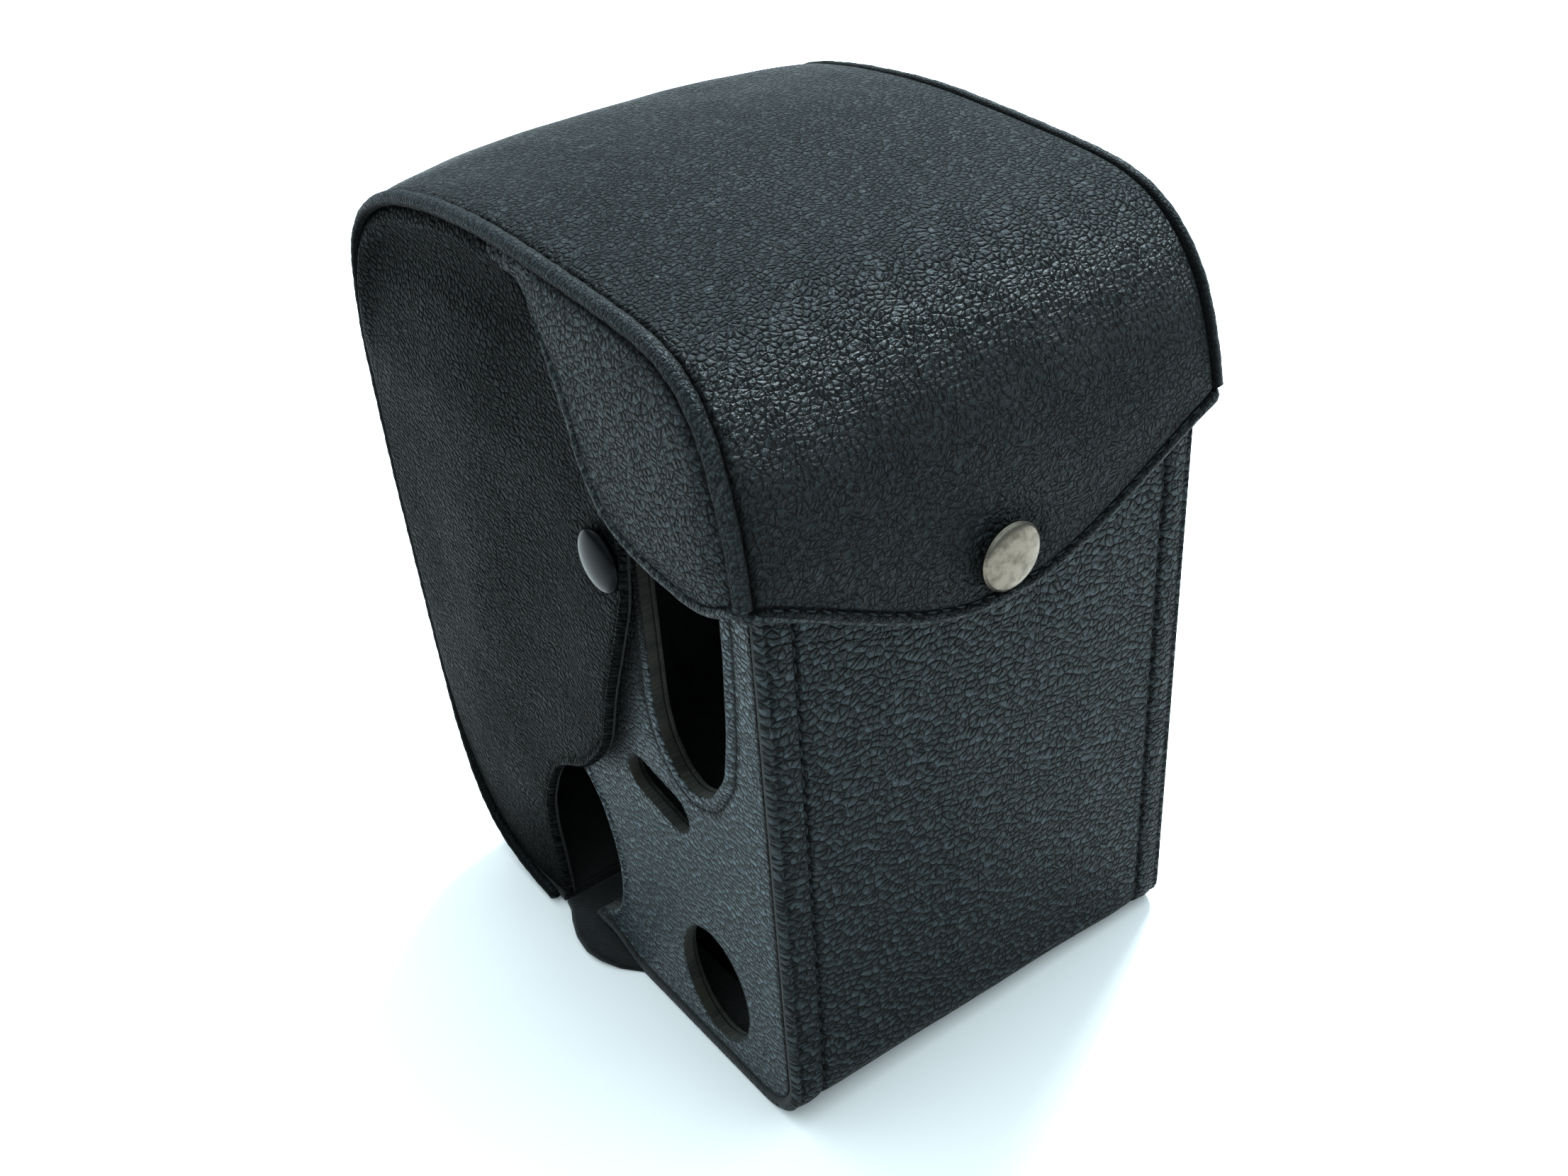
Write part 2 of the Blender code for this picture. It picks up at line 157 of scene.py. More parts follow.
def distance_to(points, line, closed=False):
    """Distance from each 2D point to a polyline."""
    a = np.array(line, float)
    b = np.roll(a, -1, 0) if closed else a[1:]
    a = a if closed else a[:-1]
    best = np.full(len(points), 1e9)
    for start in range(0, len(points), 2000):
        p = points[start:start + 2000, None, :]
        d = (b - a)[None]
        t = np.clip(((p - a[None]) * d).sum(-1) / np.maximum((d * d).sum(-1), 1e-9), 0, 1)
        gap = p - (a[None] + t[..., None] * d)
        best[start:start + 2000] = np.sqrt((gap ** 2).sum(-1).min(1))
    return best


def inside(points, loops):
    """Even-odd test against closed loops."""
    odd = np.zeros(len(points), bool)
    px, py = points[:, 0], points[:, 1]
    for loop in loops:
        a = np.array(loop, float)
        b = np.roll(a, -1, 0)
        for (ax, ay), (bx, by) in zip(a, b):
            if ay == by:
                continue
            cross = (ay > py) != (by > py)
            odd ^= cross & (px < (bx - ax) * (py - ay) / (by - ay) + ax)
    return odd


def wander(points, scale, seed):
    """Smooth noise from -1 to 1 at each 3D point of a list or grid, at a scale in millimetres."""
    offset = Vector((seed * 17.3, seed * -9.1, seed * 5.7))
    values = [noise.noise(Vector(p) / scale + offset) for p in points.reshape(-1, 3)]
    return np.array(values).reshape(points.shape[:-1])


def edge_round(distance, radius):
    """Share of the full thickness at a distance from a rounded edge."""
    t = np.clip(distance / radius, 0, 1)
    return np.sqrt(np.clip(1 - (1 - t) ** 2, 0, 1))


def hem_relief(d, width=1.0, height=0.45, depth=0.7):
    """Turned edge: a soft roll beside the edge, then the groove that its seam pulls in."""
    roll = height * bell(d, 0.95 * width, 0.6 * width)
    groove = -depth * bell(d, 2.1 * width, 0.36)
    return np.where(d > 0.02, roll + groove, 0)


def make_object(name, verts, faces, uvs, materials, face_material=None):
    """Smooth-shaded object from millimetres in the drawing, with normals that point outwards."""
    mesh = bpy.data.meshes.new(name)
    mesh.from_pydata([tuple(v) for v in place(verts)], [], faces)
    for material in materials:
        mesh.materials.append(material)
    if face_material is not None:
        mesh.polygons.foreach_set("material_index", np.array(face_material, np.int32))
    mesh.polygons.foreach_set("use_smooth", np.ones(len(mesh.polygons), bool))
    shell = bmesh.new()
    shell.from_mesh(mesh)
    bmesh.ops.recalc_face_normals(shell, faces=shell.faces)
    shell.to_mesh(mesh)
    shell.free()
    layer = mesh.uv_layers.new(name="UVMap")
    index = np.zeros(len(mesh.loops), np.int32)
    mesh.loops.foreach_get("vertex_index", index)
    layer.data.foreach_set("uv", (np.array(uvs, float)[index] / 100).astype(np.float32).ravel())
    mesh.update()
    obj = bpy.data.objects.new(name, mesh)
    bpy.context.scene.collection.objects.link(obj)
    return obj


# ------------------------------------------------------------------ outlines in the drawing

STRIP_POINTS = [
    (27.0, 0.0), (40.0, 1.0), (50.5, 4.0), (57.0, 9.0), (62.0, 17.5), (65.8, 31.0), (68.0, 50.0),
    (70.0, 72.0), (71.9, 95.0), (72.7, 115.0), (73.0, 130.0), (72.8, 141.0), (71.0, 150.5),
    (66.5, 157.0), (59.0, 161.5), (50.5, 164.5), (35.7, 167.0), (20.0, 168.3), (8.0, 168.5),
    (-10.0, 167.6), (-25.0, 166.6), (-34.0, 165.7), (-40.0, 164.5), (-45.5, 162.0), (-50.8, 157.4),
    (-55.2, 150.8), (-57.9, 143.8), (-59.7, 137.0), (-61.4, 128.0), (-62.3, 106.0), (-62.4, 103.0)]

STRIP = rounded(STRIP_POINTS, 1.0, 24, False)
STRIP_S = lengths_along(STRIP)
STRIP_T = tangents(STRIP)


def on_strip(s):
    """(y, z) on the outer face of the strip, and its outward normal, at length s."""
    y, z, ty, tz = (np.interp(s, STRIP_S, column) for column in (*STRIP.T, *STRIP_T.T))
    return y, z, tz, -ty


def strip_offset(depth, start, end, step):
    """Points of the line that lies depth inside the strip, from length start to end."""
    y, z, ny, nz = on_strip(np.arange(start, end, step))
    return np.stack([y - ny * depth, z - nz * depth], 1)


def flap_length(z):
    """Length along the strip at which its rear flap comes down to height z."""
    tail = slice(-1, -91, -1)
    return STRIP_S[-1] - np.interp(z, STRIP[tail, 1], STRIP_S[-1] - STRIP_S[tail])


# where the strip starts to fold over the top, and where the straight part of the flap starts
S_FOLD = float(np.interp(-8.0, -STRIP[120:, 0], STRIP_S[120:]))
S_FLAP = float(flap_length(138.0))


def flap_hem(x):
    """Height of the flap's curved hem."""
    return 105.9 + 0.0108 * x ** 2 - 1.37e-6 * x ** 4


def hem_s(x):
    """Length along the strip at which the hem cuts it, at each x."""
    return flap_length(flap_hem(x))


def top_shape(x, y, z):
    """Domed top and bulged front of the strip: moves (y, z) at a distance x from the middle."""
    across = 1 - (x / STRIP_HALF) ** 2
    return y + BULGE * across * smoothstep(32, 66, y), z + CROWN * across * smoothstep(140, 164, z)


NOTCH = [(14.6, 7.3), (10.0, 9.4), (5.0, 13.8), (2.5, 20.0), (1.6, 27.5), (2.5, 35.0), (5.6, 43.8),
         (10.0, 48.8), (17.0, 52.5), (23.0, 60.0)]
WINDOW = [(-21.0, 130.0), (-21.0, 84.0), (-22.5, 77.5), (-26.5, 72.0), (-31.5, 70.0), (-37.5, 72.5),
          (-43.0, 81.0), (-45.0, 92.5), (-46.3, 110.0), (-46.6, 130.0)]
EAR_EDGE = [(25.5, 3.0), (25.6, 24.3), (24.5, 32.6), (21.0, 41.0), (17.1, 47.3), (12.2, 50.7),
            (4.9, 54.6), (0.0, 59.5), (-4.9, 65.4), (-7.4, 70.3), (-12.3, 84.0), (-17.2, 96.3),
            (-21.5, 107.4), (-22.6, 113.4), (-22.8, 120.0), (-22.6, 125.6)]
SLIT = [(-19.7, 127.9), (-16.6, 131.5), (-13.5, 136.7), (-11.2, 142.4), (-8.9, 147.3), (-4.4, 152.0),
        (0.0, 156.0), (3.6, 159.0)]
GUSSET_HEM = [(-58.6, 126.4), (-55.0, 123.9), (-50.0, 122.0), (-45.0, 121.6), (-35.0, 122.6),
              (-30.0, 123.5), (-25.0, 125.1), (-20.0, 128.5), (-17.0, 132.0), (-14.0, 137.0),
              (-12.0, 142.0), (-9.4, 147.7), (-4.6, 152.2), (-0.6, 156.0), (3.0, 159.2), (6.5, 161.4)]


def arc(cy, cz, radius, start, end, steps):
    """Points of an arc, from a start to an end angle in degrees."""
    angles = np.radians(np.linspace(start, end, steps + 1))
    return [(cy + radius * math.cos(a), cz + radius * math.sin(a)) for a in angles]


def oval(cy, cz, half_y, half_z, steps):
    """Closed loop of an upright ellipse."""
    angles = np.arange(steps) * (2 * math.pi / steps)
    return np.stack([cy + half_y * np.cos(angles), cz + half_z * np.sin(angles)], 1)


def slot_loop(cy, cz, length, width, tilt):
    """Closed loop of a slot with round ends, tilted by an angle in degrees."""
    reach = (length - width) / 2
    turn = math.radians(tilt)
    points = []
    for end, start in ((1, -90), (-1, 90)):
        for y, z in arc(end * reach, 0, width / 2, start, start + 180, 12):
            points.append((cy + y * math.cos(turn) - z * math.sin(turn),
                           cz + y * math.sin(turn) + z * math.cos(turn)))
    return resample(points, 0.9, True)


# ------------------------------------------------------------------ materials

class Nodes:
    """Short way to write a node tree."""

    def __init__(self, name):
        self.material = bpy.data.materials.new(name)
        self.material.use_nodes = True
        self.tree = self.material.node_tree
        self.shader = self.tree.nodes["Principled BSDF"]

    def add(self, kind, inputs=None, **settings):
        node = self.tree.nodes.new(kind)
        for key, value in settings.items():
            setattr(node, key, value)
        for key, value in (inputs or {}).items():
            if isinstance(value, bpy.types.NodeSocket):
                self.tree.links.new(value, node.inputs[key])
            else:
                node.inputs[key].default_value = value
        return node

    def math(self, operation, a, b=None, c=None, clamp=False):
        inputs = {0: a}
        if b is not None:
            inputs[1] = b
        if c is not None:
            inputs[2] = c
        return self.add("ShaderNodeMath", inputs, operation=operation, use_clamp=clamp).outputs[0]

    def ramp(self, value, low, high, out_low=0.0, out_high=1.0):
        node = self.add("ShaderNodeMapRange", {0: value, 1: low, 2: high, 3: out_low, 4: out_high},
                        interpolation_type="SMOOTHSTEP")
        return node.outputs[0]

    def mix(self, factor, a, b):
        node = self.add("ShaderNodeMix", data_type="RGBA")
        for socket, value in ((node.inputs[0], factor), (node.inputs[6], a), (node.inputs[7], b)):
            if isinstance(value, bpy.types.NodeSocket):
                self.tree.links.new(value, socket)
            else:
                socket.default_value = value
        return node.outputs[2]

    def noise(self, vector, scale, detail, roughness=0.5, dimensions="2D"):
        inputs = {"Vector": vector, "Scale": scale, "Detail": detail, "Roughness": roughness}
        return self.add("ShaderNodeTexNoise", inputs, noise_dimensions=dimensions).outputs

    def voronoi(self, vector, scale, randomness, feature):
        inputs = {"Vector": vector, "Scale": scale, "Randomness": randomness}
        return self.add("ShaderNodeTexVoronoi", inputs, voronoi_dimensions="2D", feature=feature).outputs

    def vector(self, operation, a, key, b):
        return self.add("ShaderNodeVectorMath", {0: a, key: b}, operation=operation).outputs

    def mark(self, name):
        return self.add("ShaderNodeAttribute", attribute_name=name).outputs["Fac"]

    def bump(self, height, strength, distance):
        inputs = {"Height": height, "Strength": strength, "Distance": distance}
        self.link(self.add("ShaderNodeBump", inputs).outputs[0], "Normal")

    def link(self, output, name):
        self.tree.links.new(output, self.shader.inputs[name])

    def fix(self, name, value):
        self.shader.inputs[name].default_value = value


def colour(values, factor=1.0):
    """Opaque colour, made lighter or darker by a factor."""
    return tuple(c * factor for c in values) + (1,)


def leather_material(name, cell, stretch, turn, depth, rough, gleam, tone, ruffle, seed):
    """Pebbled black leather. cell is the width of a pebble in millimetres, depth that of the grain,
    gleam the strength of its shine, tone its lightness and ruffle how far its creases wander from
    plain pebbles. stretch and turn give the pebbles their shape and direction.

    The piece carries three vertex attributes: wear for rubbed edges, soil_and_shade for dark seams and the
    painted shade in grooves, joints and beside the ears, and pucker for the slanted creases that a tight
    seam pulls in. The pebbles' light and dark sides are partly painted light and shade, on one fixed slant
    of the leather. The pebbles' cracks and the seam's creases are darkened as painted shade, and tone, set
    per piece, paints light and shade on whole pieces.
    """
    n = Nodes(name)
    uv = n.add("ShaderNodeUVMap", uv_map="UVMap").outputs[0]
    start = n.add("ShaderNodeMapping", {"Vector": uv, "Location": (seed * 3.1, seed * 1.7, 0),
                                        "Rotation": (0, 0, math.radians(turn))}).outputs[0]
    warped = start
    for scale, reach in ((6.0, 0.016), (1.6, 0.0036 * ruffle), (0.5, 0.0012 * ruffle)):
        drift = n.noise(start, 100 / (cell * scale), 1.0)["Color"]
        drift = n.vector("SUBTRACT", drift, 1, (0.5, 0.5, 0.5))[0]
        drift = n.vector("SCALE", drift, "Scale", cell * reach)[0]
        warped = n.vector("ADD", warped, 1, drift)[0]
    size = (100 / cell, 100 / cell * stretch, 1)
    cells = n.add("ShaderNodeMapping", {"Vector": warped, "Scale": size}).outputs[0]
    edge = n.voronoi(cells, 1.0, 0.95, "DISTANCE_TO_EDGE")["Distance"]
    local = n.vector("SUBTRACT", cells, 1, n.voronoi(cells, 1.0, 0.95, "F1")["Position"])[0]
    slant = n.vector("DOT_PRODUCT", local, 1, PEBBLE_SLANT)["Value"]
    minor = n.voronoi(cells, 1.9, 1.0, "DISTANCE_TO_EDGE")["Distance"]
    fine = n.noise(cells, 4.0, 4.0, 0.6)["Fac"]
    broad = n.noise(cells, 0.45, 1.0)["Fac"]
    patch = n.noise(uv, 4.0, 3.0, 0.55)["Fac"]
    blur = n.noise(cells, 0.9, 2.0)["Fac"]
    soil_and_shade, worn, fold = (n.mark(kind) for kind in ("soil_and_shade", "wear", "pucker"))
    crack = n.ramp(n.math("DIVIDE", edge, n.math("MULTIPLY_ADD", blur, 0.34, -0.02)), 0.0, 1.0)
    keep = n.ramp(blur, 0.34, 0.52, 0.35, 1.0)
    parts = n.add("ShaderNodeSeparateXYZ", {0: uv}).outputs
    mirrored = n.add("ShaderNodeCombineXYZ", {0: n.math("ABSOLUTE", parts[0]), 1: parts[1]}).outputs[0]
    leaning = n.add("ShaderNodeMapping", {"Vector": mirrored, "Rotation": (0, 0, math.radians(32)),
                                          "Scale": (14.0, 30.0, 1.0)}).outputs[0]
    crease = n.math("ABSOLUTE", n.math("SUBTRACT", n.noise(leaning, 1.0, 2.0)["Fac"], 0.5))
    crease = n.ramp(crease, 0.0, 0.07)
    kept_crack = n.math("MULTIPLY", crack, keep)

    height = n.math("MULTIPLY", n.math("MULTIPLY", n.ramp(edge, 0.0, 0.40), keep), 0.34)
    for relief, weight in ((kept_crack, 0.34), (n.math("MULTIPLY", slant, keep), 0.75),
                           (n.ramp(minor, 0.0, 0.13), 0.08), (fine, 0.16 * ruffle),
                           (n.math("MULTIPLY", crease, fold), 0.2), (broad, 0.4)):
        height = n.math("MULTIPLY_ADD", relief, weight, height)
    n.bump(height, 1.0, depth * 0.001)

    # painted shade: the pebbles' cracks are taken to near black in the colour, and made rougher
    painted_crack_shade = n.math("SUBTRACT", 1.0, n.math("SUBTRACT", keep, kept_crack))
    painted_crack_shade = n.math("MULTIPLY", painted_crack_shade, n.ramp(minor, 0.0, 0.09, 0.7, 1.0))
    light = (0.0165, 0.0212, 0.0230)
    base = n.mix(patch, colour((0.0092, 0.0120, 0.0131), tone), colour(light, tone))
    lit_side = n.math("MULTIPLY_ADD", slant, -2.2, 0.30, clamp=True)
    base = n.mix(lit_side, base, colour(light, tone * 4.5))
    base = n.mix(painted_crack_shade, colour((0.0002, 0.0003, 0.0004)), base)
    # painted shade along the slanted creases that a tight seam pulls in
    crease_shade = n.math("MULTIPLY", n.math("MULTIPLY_ADD", crease, -0.45, 0.45), fold)
    base = n.mix(crease_shade, base, colour((0.0008, 0.0010, 0.0012)))
    for scale, limit, amount in ((26.0, 0.93, 0.4), (11.0, 0.95, 0.3)):
        speck = n.voronoi(warped, scale, 1.0, "F1")
        lottery = n.add("ShaderNodeSeparateColor", {0: speck["Color"]}).outputs[0]
        picked = n.ramp(lottery, limit, limit + 0.02)
        dust = n.math("MULTIPLY", n.ramp(speck["Distance"], 0.035, 0.015), picked)
        base = n.mix(n.math("MULTIPLY", dust, amount), base, colour((0.16, 0.15, 0.12)))
    scratch = n.noise(uv, 90.0, 5.0, 0.75)["Fac"]
    rubbed = n.math("MULTIPLY", n.ramp(scratch, 0.44, 0.66), worn)
    base = n.mix(n.math("MULTIPLY", rubbed, 0.8), base, colour((0.13, 0.14, 0.14)))
    # painted shade: soil_and_shade takes grooves, seams, joints and the band beside the ears to near black
    n.link(n.mix(soil_and_shade, base, colour((0.0004, 0.0005, 0.0006))), "Base Color")

    gloss = n.math("MULTIPLY_ADD", painted_crack_shade, -0.16, rough + 0.16)
    gloss = n.math("MULTIPLY_ADD", n.math("SUBTRACT", patch, 0.5), 0.2, gloss)
    n.link(n.math("MULTIPLY_ADD", soil_and_shade, 0.35, gloss), "Roughness")
    n.fix("Specular IOR Level", gleam)
    return n.material


def felt_material(name, body, speck):
    """Matted fibre or suede in one colour, patchy, with lighter fibres."""
    n = Nodes(name)
    uv = n.add("ShaderNodeUVMap", uv_map="UVMap").outputs[0]
    fibre = n.noise(uv, 160.0, 6.0, 0.75)["Fac"]
    patch = n.noise(uv, 22.0, 3.0)["Fac"]
    base = n.mix(n.ramp(patch, 0.35, 0.65), colour(body, 0.45), colour(body))
    base = n.mix(n.math("MULTIPLY", n.ramp(fibre, 0.55, 0.75), 0.6), base, colour(speck))
    n.link(base, "Base Color")
    n.bump(fibre, 1.0, 0.0004)
    n.fix("Roughness", 0.95)
    n.fix("Sheen Weight", 0.25)
    n.fix("Sheen Roughness", 0.5)
    return n.material


def metal_material(name, bright, dark, rough, scale):
    """Handled metal with clouds of stain, duller where it is stained."""
    n = Nodes(name)
    where = n.add("ShaderNodeTexCoord").outputs["Object"]
    cloud = n.noise(where, scale, 5.0, 0.65, "3D")["Fac"]
    fine = n.noise(where, scale * 7, 4.0, dimensions="3D")["Fac"]
    stain = n.ramp(cloud, 0.36, 0.72)
    n.link(n.mix(stain, colour(bright), colour(dark)), "Base Color")
    brushed = n.math("MULTIPLY_ADD", fine, 0.14, rough - 0.07)
    n.link(n.math("MULTIPLY_ADD", stain, 0.2, brushed), "Roughness")
    n.bump(fine, 0.6, 0.00004)
    n.fix("Metallic", 1.0)
    return n.material


def enamel_material(name):
    """Glossy black enamel with faint handling marks."""
    n = Nodes(name)
    where = n.add("ShaderNodeTexCoord").outputs["Object"]
    fine = n.noise(where, 900.0, 3.0, dimensions="3D")["Fac"]
    n.link(n.mix(fine, colour((0.003, 0.003, 0.004)), colour((0.008, 0.009, 0.010))), "Base Color")
    n.link(n.math("MULTIPLY_ADD", fine, 0.14, 0.08), "Roughness")
    n.fix("Specular IOR Level", 0.15)
    return n.material


def thread_material(name):
    """Waxed black thread with its twist."""
    n = Nodes(name)
    where = n.add("ShaderNodeTexCoord").outputs["Object"]
    twist = n.noise(where, 2600.0, 3.0, dimensions="3D")["Fac"]
    n.link(n.mix(twist, colour((0.006, 0.008, 0.009)), colour((0.03, 0.038, 0.040))), "Base Color")
    n.bump(twist, 0.8, 0.0001)
    n.fix("Roughness", 0.75)
    return n.material


# One leather in truth: the tones of these six, from 0.26 on the cheeks to 2.9 on the box's sides, and their
# gleams are painted light and shade, lit and shaded copies of one leather.
TOP_LEATHER = leather_material("top_leather", 1.45, 1.3, 8, 0.95, 0.38, 0.32, 0.45, 1.1, 1)
BACK_LEATHER = leather_material("back_leather", 1.8, 1.2, 14, 1.0, 0.44, 0.26, 1.0, 0.9, 2)
SIDE_GRAIN_PAINTED_LIGHT = leather_material("side_leather", 1.3, 1.15, -14, 1.2, 0.34, 0.62, 2.9, 0.8, 3)
CHEEK_GRAIN_PAINTED_SHADE = leather_material("cheek_leather", 1.65, 1.4, -22, 1.5, 0.46, 0.08, 0.26, 0.8, 4)
GUSSET_GRAIN = leather_material("gusset_leather", 1.65, 1.4, 32, 1.1, 0.42, 0.26, 0.9, 0.8, 5)
WELT_GRAIN = leather_material("welt_leather", 0.75, 0.8, 0, 0.16, 0.42, 0.28, 0.6, 1.2, 6)
RAW_EDGE = felt_material("raw_edge", (0.050, 0.047, 0.032), (0.17, 0.15, 0.09))
SUEDE = felt_material("black_suede", (0.0035, 0.0035, 0.0035), (0.012, 0.012, 0.012))
BLACK_FELT = felt_material("black_felt", (0.012, 0.012, 0.011), (0.035, 0.034, 0.026))
NICKEL = metal_material("aged_nickel", (0.22, 0.195, 0.165), (0.145, 0.128, 0.105), 0.24, 420.0)
STEEL = metal_material("blackened_steel", (0.09, 0.09, 0.09), (0.04, 0.035, 0.03), 0.42, 240.0)
ENAMEL = enamel_material("black_enamel")
THREAD = thread_material("thread")


# ------------------------------------------------------------------ leather builders

def grid_solid(name, outer, inner, uv, materials):
    """Closed sheet between two (rows, columns, 3) grids that meet along their borders."""
    rows, columns = outer.shape[:2]
    verts = list(outer.reshape(-1, 3)) + list(inner[1:-1, 1:-1].reshape(-1, 3))
    uvs = list(uv.reshape(-1, 2)) + list(uv[1:-1, 1:-1].reshape(-1, 2))
    front = np.arange(rows * columns).reshape(rows, columns)
    back = front.copy()
    back[1:-1, 1:-1] = rows * columns + np.arange((rows - 2) * (columns - 2)).reshape(rows - 2, -1)
    faces, kinds = [], []
    for i in range(rows - 1):
        for j in range(columns - 1):
            faces.append((front[i, j], front[i, j + 1], front[i + 1, j + 1], front[i + 1, j]))
            faces.append((back[i + 1, j], back[i + 1, j + 1], back[i, j + 1], back[i, j]))
            kinds += [0, 1]
    return make_object(name, verts, [tuple(int(k) for k in f) for f in faces], uvs, materials, kinds)


def edge_spacing(low, high, step, fringe):
    """Positions from low to high, close together at both ends."""
    near = np.array(fringe[:-1])
    count = int((high - low - 2 * fringe[-1]) / step) + 2
    inner = np.linspace(low + fringe[-1], high - fringe[-1], count)
    return np.concatenate([[low], low + near, inner, high - near[::-1], [high]])


def region(loops, spacing, rings):
    """Points and triangles that fill the first loop around the others.

    rings are the distances from the loops at which extra rows of points follow them.
    """
    border = [np.array(loop, float) for loop in loops]
    points, edges = [], []
    for loop in border:
        first = len(points)
        points += [tuple(p) for p in loop]
        edges += [(first + i, first + (i + 1) % len(loop)) for i in range(len(loop))]
    extra = []
    for depth in rings:
        for loop in border:
            tangent = np.roll(loop, -1, 0) - np.roll(loop, 1, 0)
            tangent /= np.linalg.norm(tangent, axis=1)[:, None]
            shift = depth * np.stack([tangent[:, 1], -tangent[:, 0]], 1)
            ring = np.vstack([loop + shift, loop - shift])
            extra.append(ring[inside(ring, border)])
    low, high = border[0].min(0), border[0].max(0)
    ys = np.arange(low[0], high[0], spacing)
    zs = np.arange(low[1], high[1], spacing * 0.866)
    mesh_y, mesh_z = np.meshgrid(ys, zs)
    mesh_y[1::2] += spacing / 2
    grid = np.stack([mesh_y.ravel(), mesh_z.ravel()], 1)
    grid = grid[inside(grid, border)]
    gap = np.min([distance_to(grid, loop, True) for loop in border], axis=0)
    grid = grid[gap > rings[-1] + spacing * 0.45]
    kept = []
    for ring, depth in zip(extra, [d for d in rings for _ in border]):
        gap = np.min([distance_to(ring, loop, True) for loop in border], axis=0)
        kept.append(ring[gap > depth * 0.94])
    inner = np.vstack(kept + [grid])
    everything = [Vector(p) for p in points] + [Vector(p) for p in inner]
    result = delaunay_2d_cdt(everything, edges, [], 0, 1e-5)
    flat = np.array([tuple(v) for v in result[0]])
    tris = np.array([f for f in result[2] if len(f) == 3])
    centre = flat[tris].mean(1)
    return flat, tris[inside(centre, border)]


def panel_solid(name, loops, sign, outer_x, inner_x, radius, relief, materials, spacing=2.0, wall=0.0):
    """Closed panel across X. outer_x and inner_x give x from (y, z), and relief adds to the outer face.

    wall is the share of the thickness left as a straight wall at the edges; 0 gives a round edge.
    """
    rings = [radius * 0.12, radius * 0.4, 0.75, 1.1, 1.45, 1.7, 1.95, 2.25, 2.9]
    flat, tris = region(loops, spacing, rings)
    gap = np.min([distance_to(flat, loop, True) for loop in loops], axis=0)
    gap[gap < 1e-3] = 0
    border = gap == 0
    outside = outer_x(flat[:, 0], flat[:, 1])
    within = inner_x(flat[:, 0], flat[:, 1])
    middle = (outside + within) / 2
    half = (outside - within) / 2
    share = wall + (1 - wall) * edge_round(gap, radius)
    rise = relief(flat, gap)
    rise[border] = 0
    front = np.stack([sign * (middle + half * share + rise), flat[:, 0], flat[:, 1]], 1)
    back = np.stack([sign * (middle - half * share), flat[:, 0], flat[:, 1]], 1)
    count = len(flat)
    verts = list(front)
    uvs = [(p[0], p[1]) for p in flat]
    twin = np.arange(count)
    for i in range(count):
        if wall > 0 or not border[i]:
            twin[i] = len(verts)
            verts.append(back[i])
            uvs.append(uvs[i])
    faces, kinds = [], []
    for a, b, c in tris:
        area = (flat[b][0] - flat[a][0]) * (flat[c][1] - flat[a][1])
        area -= (flat[c][0] - flat[a][0]) * (flat[b][1] - flat[a][1])
        if (area > 0) != (sign > 0):
            b, c = c, b
        faces.append((int(a), int(b), int(c)))
        faces.append((int(twin[c]), int(twin[b]), int(twin[a])))
        kinds += [0, 1]
    if wall > 0:
        used = {edge: True for a, b, c in faces[::2] for edge in ((a, b), (b, c), (c, a))}
        for a, b in used:
            if (b, a) not in used:
                faces.append((b, a, int(twin[a]), int(twin[b])))
                kinds.append(len(materials) - 1)
    return make_object(name, verts, faces, uvs, materials, kinds)


def set_marks(obj, wear, soil_and_shade, pucker=0.0):
    """Rubbed, soiled-and-shaded and puckered amounts at every vertex, or at the first ones, for the leather;
    the soiled-and-shaded amount is mostly painted shade in grooves and joints.
    """
    for name, values in (("wear", wear), ("soil_and_shade", soil_and_shade), ("pucker", pucker)):
        attribute = obj.data.attributes.new(name, "FLOAT", "POINT")
        full = np.zeros(len(obj.data.vertices), np.float32)
        values = np.clip(np.ravel(values), 0, 1)
        full[:len(values) if len(values) > 1 else None] = values
        attribute.data.foreach_set("value", full)


def vertices_of(obj):
    """Vertices in millimetres in the drawing."""
    co = np.array([v.co for v in obj.data.vertices], float) * 1000
    co[:, 1] -= Y_SHIFT
    return co


def skin(face, normal, half, share, rise, gap, inner_rise=0.0):
    """Outer and inner grids of a leather whose flat outer face is given, half its thickness each way."""
    middle = face - normal * half
    outer = middle + normal * (half * share + rise)[..., None]
    inner = middle - normal * (half * share - inner_rise)[..., None]
    inner[gap <= 0] = outer[gap <= 0]
    return outer, inner


def attach(obj, body, slot, *nodes, fold=None):
    """Makes a piece ride on a body, unless a fold is given, and hides the CAD nodes it stands for, if any.

    A fold is two points between which the piece would bend over from the case to the body; only whether one
    is given is read, and such a piece keeps its place with its transform applied and rides on no body.
    """
    if fold:
        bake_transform(obj)
    else:
        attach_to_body(obj, body)
    if nodes:
        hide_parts(*nodes)


def tube(name, centres, side_dir, up_dir, half_side, half_up, material, sections):
    """Capped tube along centres whose section is an ellipse in the (side, up) plane of each point."""
    count = len(centres)
    angles = np.linspace(0, 2 * math.pi, sections, endpoint=False)
    sideways = np.cos(angles)[None, :, None] * side_dir[:, None] * half_side[:, None, None]
    upwards = np.sin(angles)[None, :, None] * up_dir[:, None] * half_up[:, None, None]
    rings = centres[:, None] + sideways + upwards
    along = lengths_along(centres)
    verts = list(rings.reshape(-1, 3))
    around = np.arange(sections) * (2 * math.pi * half_side.mean() / sections)
    uvs = [(a, s) for s in along for a in around]
    faces = []
    for i in range(count - 1):
        for j in range(sections):
            k = (j + 1) % sections
            row = i * sections
            faces.append((row + j, row + sections + j, row + sections + k, row + k))
    verts += [centres[0], centres[-1]]
    uvs += [(0, along[0]), (0, along[-1])]
    for j in range(sections):
        k = (j + 1) % sections
        faces.append((len(verts) - 2, j, k))
        faces.append((len(verts) - 1, (count - 1) * sections + k, (count - 1) * sections + j))
    return make_object(name, verts, faces, uvs, [material])


